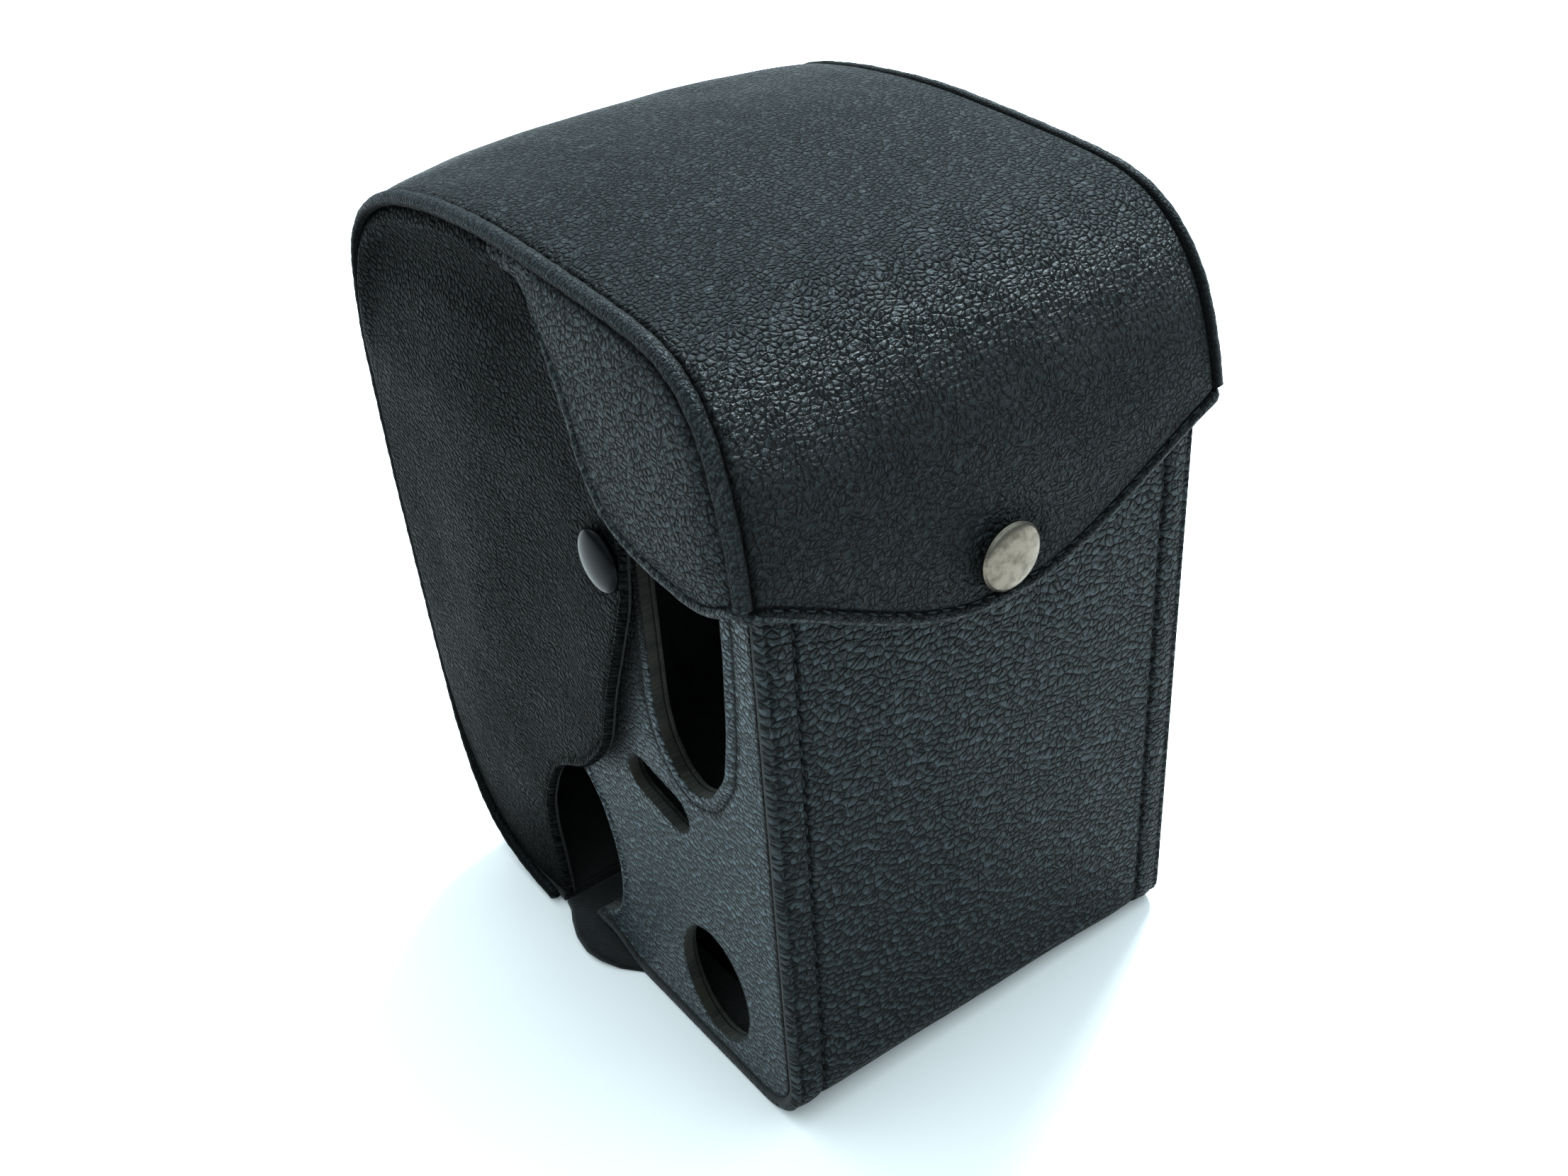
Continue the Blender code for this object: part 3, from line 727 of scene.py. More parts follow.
def stitches(name, points, normals, pitch, length, radius, sink=0.0, tilt=0.0):
    """Row of thread stitches along a 3D line on a surface with the given normals.

    sink lowers the stitches into the surface, and tilt turns each one across the line.
    """
    pts = np.array(points, float)
    nrm = np.array(normals, float)
    along = lengths_along(pts)
    verts, faces, uvs = [], [], []
    rings, around = 7, 8
    position = pitch * 0.5
    index = 0
    while position < along[-1] - length * 0.5:
        centre = np.array([np.interp(position, along, pts[:, k]) for k in range(3)])
        ahead = np.array([np.interp(position + 0.4, along, pts[:, k]) for k in range(3)])
        normal = np.array([np.interp(position, along, nrm[:, k]) for k in range(3)])
        direction = ahead - centre
        direction /= np.linalg.norm(direction)
        normal -= direction * (normal @ direction)
        normal /= np.linalg.norm(normal)
        side = np.cross(direction, normal)
        swing = math.radians(tilt + 5 * math.sin(index * 2.3))
        direction = direction * math.cos(swing) + side * math.sin(swing)
        side = np.cross(direction, normal)
        base = len(verts)
        for i in range(rings):
            t = -1 + 2 * i / (rings - 1)
            size = radius * math.sqrt(max(1 - t ** 4, 0.02))
            arch = normal * (-sink - radius * 0.9 * t * t)
            for j in range(around):
                a = 2 * math.pi * j / around
                offset = side * math.cos(a) * size + normal * math.sin(a) * size * 0.8
                verts.append(centre + direction * t * length / 2 + arch + offset)
                uvs.append((position, j * 0.2))
        for i in range(rings - 1):
            for j in range(around):
                k = (j + 1) % around
                faces.append((base + i * around + j, base + i * around + k,
                              base + (i + 1) * around + k, base + (i + 1) * around + j))
        faces.append(tuple(base + j for j in range(around))[::-1])
        faces.append(tuple(base + (rings - 1) * around + j for j in range(around)))
        position += pitch * (1 + 0.06 * math.sin(index * 1.7))
        index += 1
    return make_object(name, verts, faces, uvs, [THREAD])


def turned(name, profile, direction, centre, material, segments=96):
    """Turned piece from (radius, distance) points about a direction."""
    axis = Vector(direction).normalized()
    across = axis.orthogonal().normalized()
    third = axis.cross(across)
    verts, faces = [], []
    for radius, distance in profile:
        for i in range(segments):
            a = 2 * math.pi * i / segments
            spoke = (across * math.cos(a) + third * math.sin(a)) * max(radius, 1e-4)
            verts.append(tuple(Vector(centre) + axis * distance + spoke))
    for row in range(0, (len(profile) - 1) * segments, segments):
        for i in range(segments):
            j = (i + 1) % segments
            faces.append((row + i, row + j, row + segments + j, row + segments + i))
    return make_object(name, verts, faces, [(v[1], v[2]) for v in verts], [material])


# ------------------------------------------------------------------ the pieces

def build_strip():
    """Leather strip: front of the cover, top and back flap, in one piece across the fold."""
    x = edge_spacing(-STRIP_HALF, STRIP_HALF, 2.0, [0.12, 0.4, 0.8, 1.3, 2.0, 3.0])
    nominal = float(hem_s(0.0))
    near_hem = [0.15, 0.4, 0.7, 1.05, 1.4, 1.7, 1.95, 2.2, 2.5, 2.9, 3.5, 4.4]
    s_rows = edge_spacing(0.0, nominal, 1.7, near_hem)
    xx = np.tile(x, (len(s_rows), 1))
    ends = hem_s(x)
    ss = np.empty_like(xx)
    fringe = 6.0
    near_end = nominal - s_rows
    for j in range(len(x)):
        stretch = (ends[j] - fringe - S_FLAP) / (nominal - fringe - S_FLAP)
        ss[:, j] = np.where(s_rows < S_FLAP, s_rows, S_FLAP + (s_rows - S_FLAP) * stretch)
        ss[near_end < fringe, j] = ends[j] - near_end[near_end < fringe]
    y, z, ny, nz = on_strip(ss)
    px = xx * (1 - lean(z) / STRIP_HALF)
    py, pz = top_shape(xx, y, z)
    slope = np.abs(np.gradient(ends, x))
    hem_gap = (ends[None] - ss) / np.sqrt(1 + slope[None] ** 2)
    side_gap = STRIP_HALF - np.abs(xx)
    gap = np.minimum(np.minimum(side_gap, ss), hem_gap)
    share = edge_round(gap, 1.2)
    face = np.stack([px, py, pz], -1)
    swell = wander(face, 23.0, 3) * 0.35 + wander(face, 9.0, 5) * 0.10
    rise = hem_relief(hem_gap, 1.15, 0.3) + swell * smoothstep(0, 6, gap)
    shoulder = -0.8 * np.exp(-side_gap / 2.2) + 0.8 * math.exp(-STRIP_HALF / 2.2)
    snap = np.hypot(px, pz - REAR_SNAP_Z)
    rise += np.where(py < 0, -0.55 * bell(snap, 7.2, 1.7), 0)
    rise = np.where(gap <= 0, 0, rise) + shoulder
    normal = np.stack([np.zeros_like(px), ny, nz], -1)
    outer, inner = skin(face, normal, STRIP_LEATHER / 2, share, rise, gap, shoulder)
    uv = np.stack([xx, ss], -1)
    obj = grid_solid("top_strip_leather", outer, inner, uv, [TOP_LEATHER, BLACK_FELT])
    near_edge = np.exp(-side_gap / 4.0)
    corner = bell(py, -52, 12) * bell(pz, 155, 14)
    streak = bell(px, -20, 12) * bell(py - 0.12 * px, 34, 0.5) * (pz > 150)
    wear = 0.85 * near_edge * corner * (px < 0) + 0.10 * near_edge + 0.9 * streak
    # painted shade in the hem's groove and along the strip's edges beside the welts
    soil_and_shade = 0.95 * bell(hem_gap, 2.4, 0.4) + 0.98 * bell(side_gap, 0, 1.1)
    set_marks(obj, wear, soil_and_shade)
    return obj


def build_linings():
    """Felt inside the cover and the lid, in one piece across the fold."""
    x = edge_spacing(-49.9, 49.9, 6.0, [0.3, 1.0])
    s_rows = edge_spacing(1.0, S_FLAP + 1.5, 4.0, [0.3, 1.0])
    xx, ss = np.meshgrid(x, s_rows)
    y, z, ny, nz = on_strip(ss)
    py, pz = top_shape(xx, y, z)
    base = np.stack([xx * (1 - lean(z) / STRIP_HALF), py, pz], -1)
    normal = np.stack([np.zeros_like(xx), ny, nz], -1)
    outer = base - normal * 2.9
    inner = base - normal * (3.6 + wander(base, 12, 9) * 0.12)[..., None]
    border = grid_border(xx.shape)
    outer[border] = inner[border]
    uv = np.stack([xx, ss], -1)
    return grid_solid("cover_and_lid_felt", outer, inner, uv, [BLACK_FELT, BLACK_FELT])


def build_welt(side, sign):
    """Rolled welt between the strip and the side, from the hem over the top and down the front."""
    s = np.arange(2.0, float(hem_s(STRIP_HALF)) - 1.0, 1.0)
    y, z, ny, nz = on_strip(s)
    shift = 0.6 * smoothstep(S_FOLD - 30, S_FOLD + 4, s)
    across = sign * (STRIP_HALF + 0.75 + shift - lean(z))
    depth, sections = 1.5, 18
    centres = np.stack([across, y - ny * depth, z - nz * depth], 1)
    cos, sin = math.cos(math.radians(40)), math.sin(math.radians(40))
    side_dir = np.stack([np.full_like(s, sign * cos), -ny * sin, -nz * sin], 1)
    up_dir = np.stack([np.full_like(s, sign * sin), ny * cos, nz * cos], 1)
    puff = 1 + 0.03 * np.sin(s * 0.9) + 0.03 * np.sin(s * 2.3 + 1)
    puff = puff * (edge_round(np.minimum(s - s[0], s[-1] - s), 1.2) * 0.97 + 0.03)
    obj = tube("welt_" + side, centres, side_dir, up_dir, 1.62 * puff, 1.2 * puff, WELT_GRAIN, sections)
    co = vertices_of(obj)
    corner = bell(co[:, 1], -54, 10) * bell(co[:, 2], 150, 14)
    # painted shade in the grooves either side of the welt, on the tube's two flanks
    around = np.abs(np.cos(np.arange(len(co)) % sections * 2 * math.pi / sections)) ** 5
    set_marks(obj, 0.08 + 0.35 * corner * (sign < 0), 0.95 * around)
    return obj


def fold_distance(y, z):
    """Distance in front of the ear's fold line (negative behind it)."""
    dy, dz = FOLD_LOW[0] - FOLD_TOP[0], FOLD_LOW[1] - FOLD_TOP[1]
    size = math.hypot(dy, dz)
    return ((y - FOLD_TOP[0]) * -dz + (z - FOLD_TOP[1]) * dy) / size


def cheek_surface(y, z):
    """Distance of the outer face of the cover's side from the middle plane."""
    ahead = fold_distance(y, z)
    puffed = smoothstep(0, 30, ahead) * smoothstep(162, 128, z) * smoothstep(-6, 55, z)
    ear = 0.75 * smoothstep(-2, -15, ahead) * smoothstep(128, 112, z) * smoothstep(62, 84, z)
    near = distance_to(np.stack([y, z], 1), strip_offset(2.4, 0, S_FOLD, 2.0))
    roll = 1.15 * bell(near, 3.2, 2.4) * smoothstep(120, 145, z)
    hollow = -0.8 * bell(near, 11.0, 5.0) * smoothstep(140, 155, z)
    low = -1.3 * smoothstep(34, 6, z) * smoothstep(40, 22, y)
    edge = -0.35 * np.exp(-near / 1.6)
    return SIDE_OUTER - lean(z) + 2.1 * puffed + ear + roll + hollow + edge + low


def build_cheek(side, sign):
    """Side of the cover with its ear, in one piece across the ear's fold."""
    strip = strip_offset(2.35, 1.0, S_FOLD - 1.0, 1.0)
    edge = rounded(EAR_EDGE + SLIT, 0.8, 10, False)
    loop = resample(np.vstack([strip, [(7.5, 163.2)], edge[::-1]]), 0.9, True)
    edge_line = rounded(EAR_EDGE + SLIT[:5], 1.0, 10, False)
    hem = rounded(GUSSET_HEM[6:], 0.8, 10, False)

    def relief(flat, gap):
        near = distance_to(flat, edge_line)
        rim = np.where(near < 7, hem_relief(near, 0.9, 0.55, 0.28), 0)
        pts = np.column_stack([np.full(len(flat), sign * 30.0), flat])
        swell = wander(pts, 26.0, 11) * 0.30 + wander(pts, 8.0, 12) * 0.08
        snap = np.hypot(flat[:, 0] - SIDE_SNAP[0], flat[:, 1] - SIDE_SNAP[1])
        dimple = -0.4 * bell(snap, 6.9, 1.5)
        tuck = -0.55 * bell(distance_to(flat, hem), 0, 1.6)
        seam = -0.5 * np.exp(-gap / 0.9) * (near > 3)
        return rim + swell * smoothstep(0, 5, gap) + dimple + seam + tuck

    def inner_x(y, z):
        return cheek_surface(y, z) - SIDE_LEATHER

    obj = panel_solid("cover_side_" + side, [loop], sign, cheek_surface, inner_x, 1.0, relief,
                      [CHEEK_GRAIN_PAINTED_SHADE, BLACK_FELT], 1.9)
    flat = vertices_of(obj)[:, 1:]
    smudge = bell(flat[:, 0], 36, 7) * bell(flat[:, 1], 40, 14)
    # painted shade along the joint with the strip's welt and under the lid's hem
    soil_and_shade = 0.98 * bell(distance_to(flat, strip), 0, 1.2) + 0.9 * bell(distance_to(flat, hem), 0, 0.9)
    wear = 0.30 * np.exp(-distance_to(flat, edge_line) / 1.2) + 0.35 * smudge * (sign < 0) + 0.03
    set_marks(obj, wear, soil_and_shade)
    return obj


def ahead_of_crease(y, z):
    """Distance in front of the crease where the lid's side meets the cover's side."""
    return (y - 1.0) * 0.75 + (158.5 - z) * 0.35


def gusset_surface(y, z):
    """Outer face of the lid's side: its own layer behind, the cover's side in front of the crease."""
    near = distance_to(np.stack([y, z], 1), strip_offset(2.4, S_FOLD - 4, S_FLAP + 40, 2.0))
    own = GUSSET_OUTER - 0.15 - lean(z) - 0.7 * np.exp(-near / 2.6)
    own = own + 0.5 * smoothstep(-60, -48, y) * smoothstep(0, -30, y) * smoothstep(122, 136, z)
    merged = cheek_surface(y, z) + 0.12
    return own + (merged - own) * smoothstep(-6.0, 6.5, ahead_of_crease(y, z))


def gusset_inner(y, z):
    """Inner face of the lid's side, which thins out over the cover's side."""
    thick = GUSSET_LEATHER + (0.25 - GUSSET_LEATHER) * smoothstep(-7.0, 5.5, ahead_of_crease(y, z))
    return gusset_surface(y, z) - thick


def build_gusset(side, sign):
    """Side of the lid, from the flap forward over the crease, with its turned hem."""
    top = strip_offset(2.35, S_FOLD - 7.0, float(hem_s(STRIP_HALF)), 1.0)
    hem = rounded(GUSSET_HEM, 0.8, 10, False)
    front = rounded([(6.5, 161.4), (11.0, 162.4), (14.4, 163.6)], 0.8, 2, False)
    loop = resample(np.vstack([top, hem[1:], front[1:]]), 0.9, True)

    def relief(flat, gap):
        near = distance_to(flat, hem)
        fade = smoothstep(161, 150, flat[:, 1])
        lift = np.where(near < 7, hem_relief(near, 0.85, 0.35, 0.6), 0) * fade
        pts = np.column_stack([np.full(len(flat), sign * 40.0), flat])
        swell = wander(pts, 20.0, 21) * 0.28 + wander(pts, 7.0, 22) * 0.08
        seam = -0.4 * np.exp(-gap / 0.9) * (near > 3) * smoothstep(12, 6, flat[:, 0])
        return lift + swell * smoothstep(0, 5, gap) * smoothstep(10, 0, flat[:, 0]) + seam

    obj = panel_solid("lid_side_" + side, [loop], sign, gusset_surface, gusset_inner, 0.9, relief,
                      [GUSSET_GRAIN, BLACK_FELT], 1.8)
    flat = vertices_of(obj)[:, 1:]
    edge_gap = distance_to(flat, hem)
    fade = smoothstep(158, 140, flat[:, 1])
    # painted shade in the hem's groove and along the joint with the welt
    soil_and_shade = 0.9 * bell(edge_gap, 1.8, 0.4) * fade + 0.98 * bell(distance_to(flat, top), 0, 1.2)
    set_marks(obj, 0.35 * np.exp(-edge_gap / 1.0) * fade + 0.03, soil_and_shade)
    return obj


def base_line(x):
    """Back and base of the box at a distance x: the lower corner is slacker on the left."""
    radius = 9.0 - 3.0 * x / BOX_HALF
    corner = arc(BOX_BACK + radius, radius, radius, 180, 270, 16)
    pts = [(BOX_BACK, BOX_TOP), (BOX_BACK, 100.0), (BOX_BACK, 60.0)] + corner
    pts += [(-30.0, 0.0), (-12.0, 0.0), (0.0, 0.0), (8.0, 3.3), (15.5, 3.3)]
    return np.array(pts)


def build_back():
    """Back and base strip of the box, with the rolled seam and the stitched groove near each edge."""
    near_side = [0.1, 0.3, 0.6, 0.95, 1.3, 1.7, 2.3, 3.2, 4.2, 5.2, 5.9, 6.4, 6.8, 7.2, 7.6, 8.1, 9.0,
                 10.5]
    x = edge_spacing(-BOX_HALF, BOX_HALF, 2.2, near_side)
    columns = []
    for value in x:
        line = resample(base_line(value), 0.5, False)
        s = lengths_along(line)
        want = edge_spacing(0, s[-1], 1.9, [0.2, 0.6, 1.2])
        want = np.interp(np.linspace(0, 1, 118), np.linspace(0, 1, len(want)), want)
        col = [np.interp(want, s, c) for c in (*line.T, *tangents(line).T)]
        columns.append(np.stack(col + [want], 1))
    data = np.stack(columns, 1)
    y, z, ty, tz, ss = (data[..., k] for k in range(5))
    ny, nz = tz, -ty
    xx = np.tile(x, (data.shape[0], 1))
    side_gap = BOX_HALF - np.abs(xx)
    gap = np.minimum(np.minimum(side_gap, ss), ss.max(0)[None] - ss)
    face = np.stack([xx, y, z], -1)
    pucker = wander(np.stack([xx * 0.5, ss + np.abs(xx) * 0.7, xx * 0], -1), 2.4, 31)
    swell = wander(face, 25.0, 32) * 0.30 + wander(face, 9.0, 33) * 0.08
    roll = 0.32 * bell(side_gap, 4.2, 2.2) * (1 + 0.35 * pucker)
    rim = 0.16 * bell(side_gap, 0.6, 0.4) - 0.18 * bell(side_gap, 1.5, 0.4)
    groove = -0.75 * bell(side_gap, BACK_SEAM, 0.36) - 0.15 * bell(side_gap, BACK_SEAM, 1.3)
    rise = (roll + rim + groove + swell * smoothstep(8, 14, side_gap)) * smoothstep(0, 0.4, gap)
    normal = np.stack([np.zeros_like(xx), ny, nz], -1)
    outer, inner = skin(face, normal, BOX_LEATHER / 2, edge_round(gap, 0.9), rise, gap)
    uv = np.stack([xx, -ss], -1)
    obj = grid_solid("box_back_leather", outer, inner, uv, [BACK_LEATHER, BLACK_FELT])
    wear = 0.45 * bell(side_gap, 0.5, 0.5) + 0.05
    # painted shade in the stitched groove and beside the rolled edge
    soil_and_shade = 0.95 * bell(side_gap, BACK_SEAM, 0.42) + 0.45 * bell(side_gap, 1.55, 0.35)
    set_marks(obj, wear, soil_and_shade, smoothstep(1.4, 2.4, side_gap) * smoothstep(7.6, 5.6, side_gap))
    return obj


def side_loops(grow):
    """Outline of a side of the box and its holes, with the holes widened by grow."""
    corner = arc(BOX_BACK + 10.8, 10.8, 7.6, 180, 270, 10)
    outline = [(-55.0, BOX_TOP), (-55.0, 60.0)] + corner
    outline += [(-20.0, 3.2), (-1.0, 3.2), (7.0, 6.5), (14.6, 6.5)]
    loop = rounded(outline + NOTCH + [(24.5, 75.0), (24.5, BOX_TOP)] + WINDOW, 0.9, 5, True)
    hole = oval(-31.6, 20.2, 11.0 + grow, 13.8, 80)
    slot = slot_loop(-18.3, 61.5, 20.5 + grow * 2, 9.0 + grow * 2, 10)
    return loop, hole, slot


def build_side(side, sign):
    """Side of the box with its window, slot, round hole and knob notch."""
    loop, hole, slot = side_loops(0)
    window = rounded(WINDOW, 0.8, 6, False)
    notch = rounded(NOTCH, 0.8, 6, False)

    def cut_distance(flat):
        return np.minimum(distance_to(flat, hole, True), distance_to(flat, slot, True))

    def relief(flat, gap):
        near_window = distance_to(flat, window)
        near_notch = distance_to(flat, notch)
        rim = 0.30 * bell(near_window, 1.1, 0.7) - 0.30 * bell(near_window, WINDOW_SEAM, 0.45)
        lip = 0.35 * bell(near_notch, 1.1, 0.7) - 0.25 * bell(near_notch, 2.3, 0.45)
        pts = np.column_stack([np.full(len(flat), sign * 50.0), flat])
        swell = wander(pts, 22.0, 41) * 0.22 + wander(pts, 8.0, 42) * 0.06
        return rim + lip + swell * smoothstep(0, 6, gap) - 0.25 * np.exp(-cut_distance(flat) / 1.2)

    obj = panel_solid("box_side_leather_" + side, [loop, hole, slot], sign, lambda y, z: 49.75 + 0 * y,
                      lambda y, z: 47.2 + 0 * y, 0.4, relief, [SIDE_GRAIN_PAINTED_LIGHT, BLACK_FELT, RAW_EDGE], 1.7,
                      wall=0.8)
    obj.data.set_sharp_from_angle(angle=math.radians(50))
    flat = vertices_of(obj)[:, 1:]
    near_window = distance_to(flat, window)
    near = np.minimum(near_window, distance_to(flat, notch))
    frame_gap = distance_to(flat, loop, True)
    lower = (frame_gap < 3) & ((flat[:, 0] < -53) | (flat[:, 1] < 9))
    # painted shade at the cut edges, along the rear and bottom edges where the side meets the back strip,
    # and in the window's stitched groove
    soil_and_shade = 0.3 * bell(np.minimum(near, cut_distance(flat)), 0, 0.3)
    soil_and_shade += 0.9 * bell(frame_gap, 0, 0.7) * lower + 0.9 * bell(near_window, WINDOW_SEAM, 0.35)
    # a dark band along the edge of the closed ear, in place of the ear's shadow
    ear_gap = distance_to(flat, rounded(EAR_EDGE[6:], 1.0, 10, False))
    soil_and_shade += 0.9 * bell(ear_gap, 0, EAR_SHADOW_BAND) * smoothstep(52, 66, flat[:, 1])
    set_marks(obj, 0.35 * np.exp(-near / 1.0) + 0.04, np.clip(soil_and_shade, 0, 0.97))
    return obj


def build_box_linings():
    """Felt inside the box: one sheet on each side, and one down the back and over the base."""
    def rough_face(flat, gap):
        return wander(np.column_stack([flat, flat[:, 0] * 0]), 5.0, 51) * 0.1

    for side, sign in (("left", -1), ("right", 1)):
        lining = panel_solid("box_felt_" + side, list(side_loops(0.6)), sign, lambda y, z: 46.9 + 0 * y,
                             lambda y, z: 46.1 + 0 * y, 0.4, rough_face, [RAW_EDGE, BLACK_FELT, RAW_EDGE],
                             3.5, wall=0.5)
        attach(lining, "case", "felt", "lining_" + side)
    x = edge_spacing(-45.8, 45.8, 6.0, [0.3, 1.2])
    columns = []
    for value in x:
        line = resample(base_line(value)[:-1], 1.0, False)
        keep = np.linspace(0, len(line) - 1, 70).astype(int)
        columns.append(np.column_stack([line[keep], tangents(line)[keep]]))
    data = np.stack(columns, 1)
    y, z, ty, tz = (data[..., k] for k in range(4))
    xx = np.tile(x, (data.shape[0], 1))
    normal = np.stack([np.zeros_like(xx), -tz, ty], -1)
    base = np.stack([xx, y, z], -1)
    outer = base + normal * 3.3
    inner = base + normal * 4.1
    border = grid_border(xx.shape)
    outer[border] = inner[border]
    along = np.tile(np.linspace(0, 200, data.shape[0])[:, None], (1, len(x)))
    back = grid_solid("box_felt_back", outer[:, ::-1], inner[:, ::-1], np.stack([xx, along], -1)[:, ::-1],
                      [BLACK_FELT, BLACK_FELT])
    attach(back, "case", "felt", "lining_back_base")


def build_tongue():
    """Tongue of the front cover, skived thin under the base, with suede lips that flare out."""
    y = edge_spacing(-3.5, 26.6, 1.1, [0.2, 0.6, 1.2])
    flare = np.interp(y, [-3.5, -1.0, 2.0, 6.0, 10.0, 15.0, 20.0, 23.5, 26.6],
                      [49.0, 51.0, 53.6, 55.9, 56.9, 56.3, 54.4, 52.6, 51.8])
    across = np.concatenate([np.linspace(0, 0.86, 18), np.linspace(0.872, 0.985, 14),
                             [0.992, 0.997, 1.0]])
    across = np.concatenate([-across[:0:-1], across])
    uu, yy = np.meshgrid(across, y)
    xx = uu * flare[:, None]
    lip = smoothstep(49.5, 55.5, np.abs(xx)) * smoothstep(-3.5, 8.0, yy) * smoothstep(27.5, 20.0, yy)
    top = np.clip(np.minimum(2.3, 0.10 * (yy + 3.5) + 0.5), 0.3, None) + 1.0 * lip
    low = np.full_like(top, 0.02) + 0.7 * lip * smoothstep(52, 57, np.abs(xx))
    gap = np.minimum(np.minimum(flare[:, None] - np.abs(xx), yy + 3.5), 26.6 - yy)
    share = edge_round(gap, 1.1)
    fuzz = wander(np.stack([xx, yy, 0 * xx], -1), 2.2, 61) * 0.12 * (gap > 0)
    middle = (top + low) / 2
    half = (top - low) / 2
    upper = np.stack([xx, yy, middle + half * share + fuzz], -1)
    lower = np.stack([xx, yy, middle - half * share], -1)
    border = gap <= 1e-6
    lower[border] = upper[border]
    obj = grid_solid("cover_tongue_suede", upper, lower, np.stack([xx, yy], -1), [SUEDE, BACK_LEATHER])
    set_marks(obj, 0.1, 0.0)
    attach(obj, "case", "leather", "cover_tongue")
    line = [(v, 12.5, 0.65) for v in np.linspace(-50, 50, 60)]
    seam = stitches("tongue_stitches", line, [(0, 0, -1)] * len(line), 3.6, 2.4, 0.26, 0.2)
    attach(seam, "case", "leather")


def build_snaps():
    """Caps of the three press-studs: nickel on the flap, black enamel on the ears."""
    quarter = [math.radians(90 * i / 14) for i in range(15)]
    dome = [(6.35 * math.sin(a), 0.62 + 1.25 * math.cos(a) ** 1.1) for a in quarter]
    rim = [(6.62, 0.5), (6.7, 0.25), (6.6, 0.02), (6.2, -0.05), (0.0, -0.05)]
    button = turned("rear_snap_button", dome + rim, (0, -1, 0), (0, -62.45, REAR_SNAP_Z), NICKEL)
    attach(button, "lid", "nickel", "rear_snap_cap")
    quarter = [math.radians(90 * i / 16) for i in range(17)]
    dome = [(6.2 * math.sin(a), 0.35 + 1.75 * math.cos(a)) for a in quarter]
    rim = [(6.28, 0.1), (6.1, -0.1), (5.6, -0.2), (0.0, -0.2)]
    for side, sign in (("left", -1), ("right", 1)):
        centre = (sign * 53.5, *SIDE_SNAP)
        cap = turned(side + "_snap_button", dome + rim, (sign, 0, 0), centre, ENAMEL)
        attach(cap, side + "_ear", "black_enamel", side + "_snap_cap")


def build_seams():
    """Stitch rows on the back, along the hem of the flap and round the windows."""
    window = rounded(WINDOW, 0.8, 6, False)
    tangent = tangents(window)
    outside = window + np.stack([-tangent[:, 1], tangent[:, 0]], 1) * WINDOW_SEAM
    outside = outside[outside[:, 1] < 124]
    for side, sign in (("left", -1), ("right", 1)):
        x = sign * (BOX_HALF - BACK_SEAM)
        line = resample(base_line(x), 0.8, False)
        line = line[(line[:, 1] < 126) & (line[:, 0] < -6)]
        tangent = tangents(line)
        normal = np.stack([np.zeros(len(line)), tangent[:, 1], -tangent[:, 0]], 1)
        centre = np.column_stack([np.full(len(line), x), line]) - normal * 0.55
        row = stitches("back_stitches_" + side, centre, normal, 3.5, 2.6, 0.30, 0.0, 4 * sign)
        attach(row, "case", "leather")
        centre = np.column_stack([np.full(len(outside), sign * 49.55), outside])
        normal = [(sign, 0, 0)] * len(outside)
        row = stitches("window_stitches_" + side, centre, normal, 2.3, 1.5, 0.2, 0.0, 14)
        attach(row, "case", "leather")
    x = np.linspace(-49.5, 49.5, 160)
    ends = hem_s(x) - 2.4
    y, z, ny, nz = on_strip(ends)
    centre = np.stack([x, y - ny * 0.28, z - nz * 0.28], 1)
    normal = np.stack([0 * x, ny, nz], 1)
    row = stitches("hem_stitches", centre, normal, 3.4, 2.3, 0.24, 0.0, 5)
    attach(row, "lid", "leather")


def build_hem_bead():
    """Turned hem of the lid: one rolled edge from slit to slit, round both corners of the flap."""
    x = np.linspace(0, 51.6, 60)
    s = hem_s(x) - 0.95
    y, z, ny, nz = on_strip(s)
    flap = np.stack([x, y - ny * 1.05, z - nz * 1.05], 1)
    turn_points = np.array([(53.2, -60.6, 125.3), (53.9, -59.6, 126.1)])
    hem = rounded(GUSSET_HEM, 0.8, 10, False)
    tangent = tangents(hem)
    inward = hem + np.stack([-tangent[:, 1], tangent[:, 0]], 1) * 0.85
    inward = inward[(inward[:, 0] > -58.4) & (inward[:, 1] < 156.5)]
    face = gusset_surface(inward[:, 0], inward[:, 1]) - 0.85
    side = np.column_stack([face, inward])
    half = np.vstack([flap, turn_points, side])
    for _ in range(6):
        half[50:-2] = (half[49:-3] + 2 * half[50:-2] + half[51:-1]) / 4
    path = np.vstack([half[::-1] * (-1, 1, 1), half[1:]])
    steps = lengths_along(path)
    want = np.linspace(0, steps[-1], int(steps[-1] / 0.8))
    path = np.stack([np.interp(want, steps, path[:, k]) for k in range(3)], 1)
    ahead = tangents(path)
    reach = np.abs(path[:, 0])
    backwards = 0.9 * np.clip(path[:, 1] + 2, None, 0) * (reach < 53.6)
    out = np.stack([np.where(reach < 52.6, 0.12, 1.0) * path[:, 0], backwards, 0 * reach], 1)
    for _ in range(3):
        out[1:-1] = (out[:-2] + 2 * out[1:-1] + out[2:]) / 4
    out -= ahead * (out * ahead).sum(1)[:, None]
    out /= np.linalg.norm(out, axis=1)[:, None]
    across = np.cross(ahead, out)
    lump = 1 + 0.05 * wander(path, 3.0, 71) + 0.05 * wander(path, 1.2, 72)
    ends = edge_round(np.minimum(want, want[-1] - want), 9.0) * 0.95 + 0.05
    obj = tube("lid_hem", path, across, out, 1.0 * lump * ends, 1.28 * lump * ends, WELT_GRAIN, 16)
    set_marks(obj, 0.75, 0.0)
    attach(obj, "lid", "leather")


def at(x, y, z):
    """One point of the drawing in the CAD frame."""
    return tuple(place([(x, y, z)])[0])


